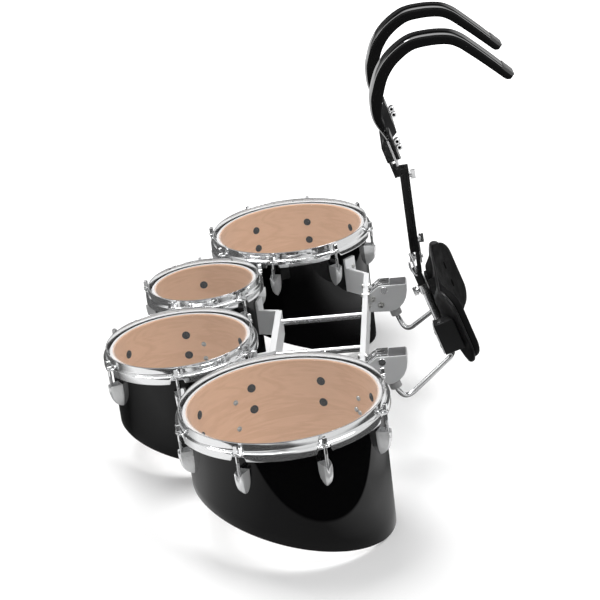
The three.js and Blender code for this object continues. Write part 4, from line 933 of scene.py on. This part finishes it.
def closed_ends(section):
    """Adds a first and a last ring shrunk to the section's middle, so that the ends close."""
    first = np.broadcast_to(section[0].mean(0), section[0].shape)
    last = np.broadcast_to(section[-1].mean(0), section[-1].shape)
    return np.concatenate([first[None], section, last[None]])


# the yoke is one sheet: a tongue in front of the spine and two ears that stand back to the hooks
yoke_sheet, yoke_ease, yoke_back, tongue_half, yoke_half = 3.6, 0.8, 24, 19, 118


def yoke_sections():
    """At each place across, a closed ring of the sheet's section: its lower and upper edges and
    how far it stands back are straight runs between corners."""
    y = np.array([tongue_half, 30, 50, 63, 76, 90, 104, yoke_half - 1, yoke_half])
    y = np.r_[-y[::-1], -tongue_half + 0.01, -10, 0, 10, tongue_half - 0.01, y]
    away = np.abs(y)
    low = np.interp(away, [tongue_half - 0.01, tongue_half, yoke_half], [0, 30.8, 61.6])
    high = np.interp(away, [50, 76], [70.4, 110])
    inset = np.where(away > yoke_half - 0.5, 1.0, 0.0)
    back = np.interp(away, [50, 76], [0, yoke_back])
    ring = [(yoke_ease, 0, 0), (0, yoke_ease, 0), (0, -yoke_ease, 1), (yoke_ease, 0, 1),
            (yoke_sheet - yoke_ease, 0, 1), (yoke_sheet, -yoke_ease, 1), (yoke_sheet, yoke_ease, 0),
            (yoke_sheet - yoke_ease, 0, 0), (yoke_ease, 0, 0)]
    rows = []
    for depth, lift, share in ring:
        z = (low + inset) * (1 - share) + (high - inset) * share + lift
        rows.append(np.stack([back + depth, y, z], -1))
    return np.stack(rows, 1)


sections = closed_ends(yoke_sections())
wedge = block_sheets((yoke_sheet - 0.5, -tongue_half + 1, 0.5), (11.5, tongue_half - 1, 15), 1, chest_frame)
yoke = skin(in_row(sections, chest_frame))
add_piece("chest_yoke", [yoke, wedge], [black_metal], "spine", ["chest_plate"])


# Wing bolts and knobs. Chromed, each turned by hand. The knobs on the chest plate's ears are
# short barrels across their bolts, with painted shade in the hollows at both ends, and clamp the hooks.
for node in ["collar_wing_bolt", "slider_wing_bolt", "height_wing_bolt", "spine_wing_bolt"]:
    eased(node, node.replace("bolt", "screw"), chrome, node, 0.7)
ear_slot_bottom, ear_slot_length, knob_shares = 64.8, 42, [0.28, 0.55]
knob_y, knob_away = 98, 5.7
barrel = [(0, 3.4), (2.6, 3.4), (2.8, 5.4), (4.6, 5.4), (5.4, 4.6),
          (5.4, -4.6), (4.6, -5.4), (2.8, -5.4), (2.6, -3.4), (0, -3.4)]
for side, sign in both_sides.items():
    for number, share in enumerate(knob_shares, 1):
        node = f"hook_knob_{side}_{number}"
        level = ear_slot_bottom + ear_slot_length * share
        place = chest_frame @ shifted(yoke_back + yoke_sheet + knob_away, sign * knob_y, level) @ tipped(90)
        knob = turned_profile(barrel, 24, place)
        # dark discs in the hollows at the barrel's ends are painted shade
        end_shades = [turned_profile([(0, 3.5 * end), (2.7, 3.5 * end), (2.7, 3.2 * end), (0, 3.2 * end)],
                                disc_steps, place) for end in (-1, 1)]
        add_piece(f"knob_{side}_{number}", [knob], [chrome], node, [node])
        add_piece(f"knob_end_shade_{side}_{number}", end_shades, [painted_recess_shade], node)


# Shoulder hooks. A flat metal strap, bent over the shoulder and lacquered black, with a foam pad
# under it and a folded steel clip at its end. A bare metal tail is bolted to the chest plate's ear.
hook_y, hook_width, hook_sheet, hook_pad_width = 98, 34, 4, 41
hook_x, hook_base, hook_reach, hook_rise = 189.7, 322, 243, 176
hook_shares = [
    (0.012, 0.2), (0, 0.39), (0.02, 0.52), (0.07, 0.69), (0.16, 0.845), (0.3, 0.97),
    (0.45, 1), (0.59, 0.985), (0.68, 0.93), (0.76, 0.84), (0.88, 0.69), (1.012, 0.515),
]
tail_face, tail_top, tail_length = 17.5, 100, 50
gloss_black = cloudy_finish("gloss_black_strap", (0.002, 0.002, 0.0022), (30, 0.05, 0.1),
                            ior=2.6, specular_ior_level=1)


def chest_point(x, z):
    """A place in the chest plate's middle plane, in the carrier's x and z."""
    c, s = math.cos(math.radians(chest_lean)), math.sin(math.radians(chest_lean))
    return np.array([chest_x + x * c - z * s, chest_z + x * s + z * c])


def even_curve(points, steps):
    """A smooth curve through points: on each stretch the cubic with the mean slopes at its ends,
    taken at even distances along its length."""
    points = np.asarray(points, float)
    padded = np.vstack([2 * points[0] - points[1], points, 2 * points[-1] - points[-2]])
    t = np.linspace(0, 1, 33)[:-1, None]
    dense = []
    for a, b, c, d in zip(padded, padded[1:], padded[2:], padded[3:]):
        v0, v1 = (c - a) / 2, (d - b) / 2
        dense.append(b + v0 * t + (3 * (c - b) - 2 * v0 - v1) * t ** 2 + (2 * (b - c) + v0 + v1) * t ** 3)
    dense = np.vstack([*dense, points[-1:]])
    length = np.r_[0, np.cumsum(np.linalg.norm(np.diff(dense, axis=0), axis=1))]
    at = np.linspace(0, length[-1], steps)
    return np.stack([np.interp(at, length, dense[:, i]) for i in range(2)], -1)


hook_points = [(hook_x + hook_reach * x, hook_base + hook_rise * z) for x, z in hook_shares]
hook_curve = even_curve([chest_point(tail_face, tail_top)] + hook_points, 121)


def across_curve(curve):
    """Unit normals of a curve in x and z, towards the inside of the hook."""
    tangent = np.gradient(curve, axis=0)
    tangent /= np.linalg.norm(tangent, axis=1)[:, None]
    return np.stack([tangent[:, 1], -tangent[:, 0]], -1)


def strip_sheet(curve, normal, section, sign):
    """A closed section carried along a curve: each of its points is an offset across the width
    and a depth along the normal; section is an array of (stations, points, 2)."""
    depth, across = section[..., 1], section[..., 0]
    x = curve[:, None, 0] + normal[:, None, 0] * depth
    z = curve[:, None, 1] + normal[:, None, 1] * depth
    return skin(in_row(np.stack([x, across + sign * hook_y, z], -1), carrier_frame))


def rounded_section(width, low, high, corner, steps=4):
    """A rectangle with round corners, across its width and between two depths."""
    loop = rounded_outline(width, high - low, corner, steps)
    return loop + [0, (low + high) / 2]


def crowned_section(width, low, high, steps=7):
    """The strap's section: a flat underside and a top that curves down, by the cube of the
    distance from the middle, more towards its left edge than towards its right one."""
    across = np.linspace(-1, 1, 2 * steps + 1)
    top = np.stack([across * width / 2, low + np.where(across < 0, 1.9, 0.2) * np.abs(across) ** 3], -1)
    edge = [(width / 2, high - 1), (width / 2 - 1, high)]
    return np.vstack([top, edge, [(-x, y) for x, y in edge[::-1]], top[:1]])


def along_hook(name, curve, section, material, stands_for, side, crease=35):
    """A piece with a section carried along part of a hook, closed at both ends."""
    normal = across_curve(curve)
    section = np.broadcast_to(section, (len(curve), *section.shape[-2:]))
    curve = np.vstack([curve[:1], curve, curve[-1:]])
    normal = np.vstack([normal[:1], normal, normal[-1:]])
    sheet = strip_sheet(curve, normal, closed_ends(section), both_sides[side])
    return add_piece(f"{name}_{side}", [sheet], [material], f"hook_{side}", stands_for, crease=crease)


clip_steel = cloudy_finish("grey_clip", (0.1, 0.1, 0.1), (60, 0.3, 0.45), metallic=0.5)
tail = np.array([chest_point(tail_face, z) for z in np.linspace(tail_top - tail_length, tail_top - 2, 9)])
# the pad starts thin, grows, and thins again towards the hook's tip, with both ends rounded
pad_curve = hook_curve[5:]
along = np.linspace(0, 1, len(pad_curve))
ends = np.clip(np.minimum(along * 40, (1 - along) * 40), 0, 1)
ends = 0.55 + 0.45 * np.sqrt(1 - (1 - ends) ** 2)
thick = (19 - 8 * along ** 2) * (0.5 + 0.5 * smooth_step(along / 0.17)) * ends
pad_sections = np.array([
    rounded_section(hook_pad_width, hook_sheet - 0.4, hook_sheet + t, min(4.5, t * 0.4), 5) for t in thick])
strap_section = crowned_section(hook_width, 0, hook_sheet)
tail_section = rounded_section(hook_width - 2, 0, hook_sheet, 0.8)
clip_section = rounded_section(hook_width + 2.4, -0.9, hook_sheet + 1.6, 1.2)
for side in both_sides:
    strap_node, pad_node = f"hook_strap_{side}", f"hook_pad_{side}"
    along_hook("shoulder_strap", hook_curve[:-1], strap_section, gloss_black,
               [strap_node], side)
    along_hook("strap_tail", tail, tail_section, satin, [], side)
    pad = along_hook("shoulder_pad", pad_curve, pad_sections, foam, [pad_node], side, crease=60)
    along_hook("end_clip", hook_curve[-8:], clip_section, clip_steel, [], side)
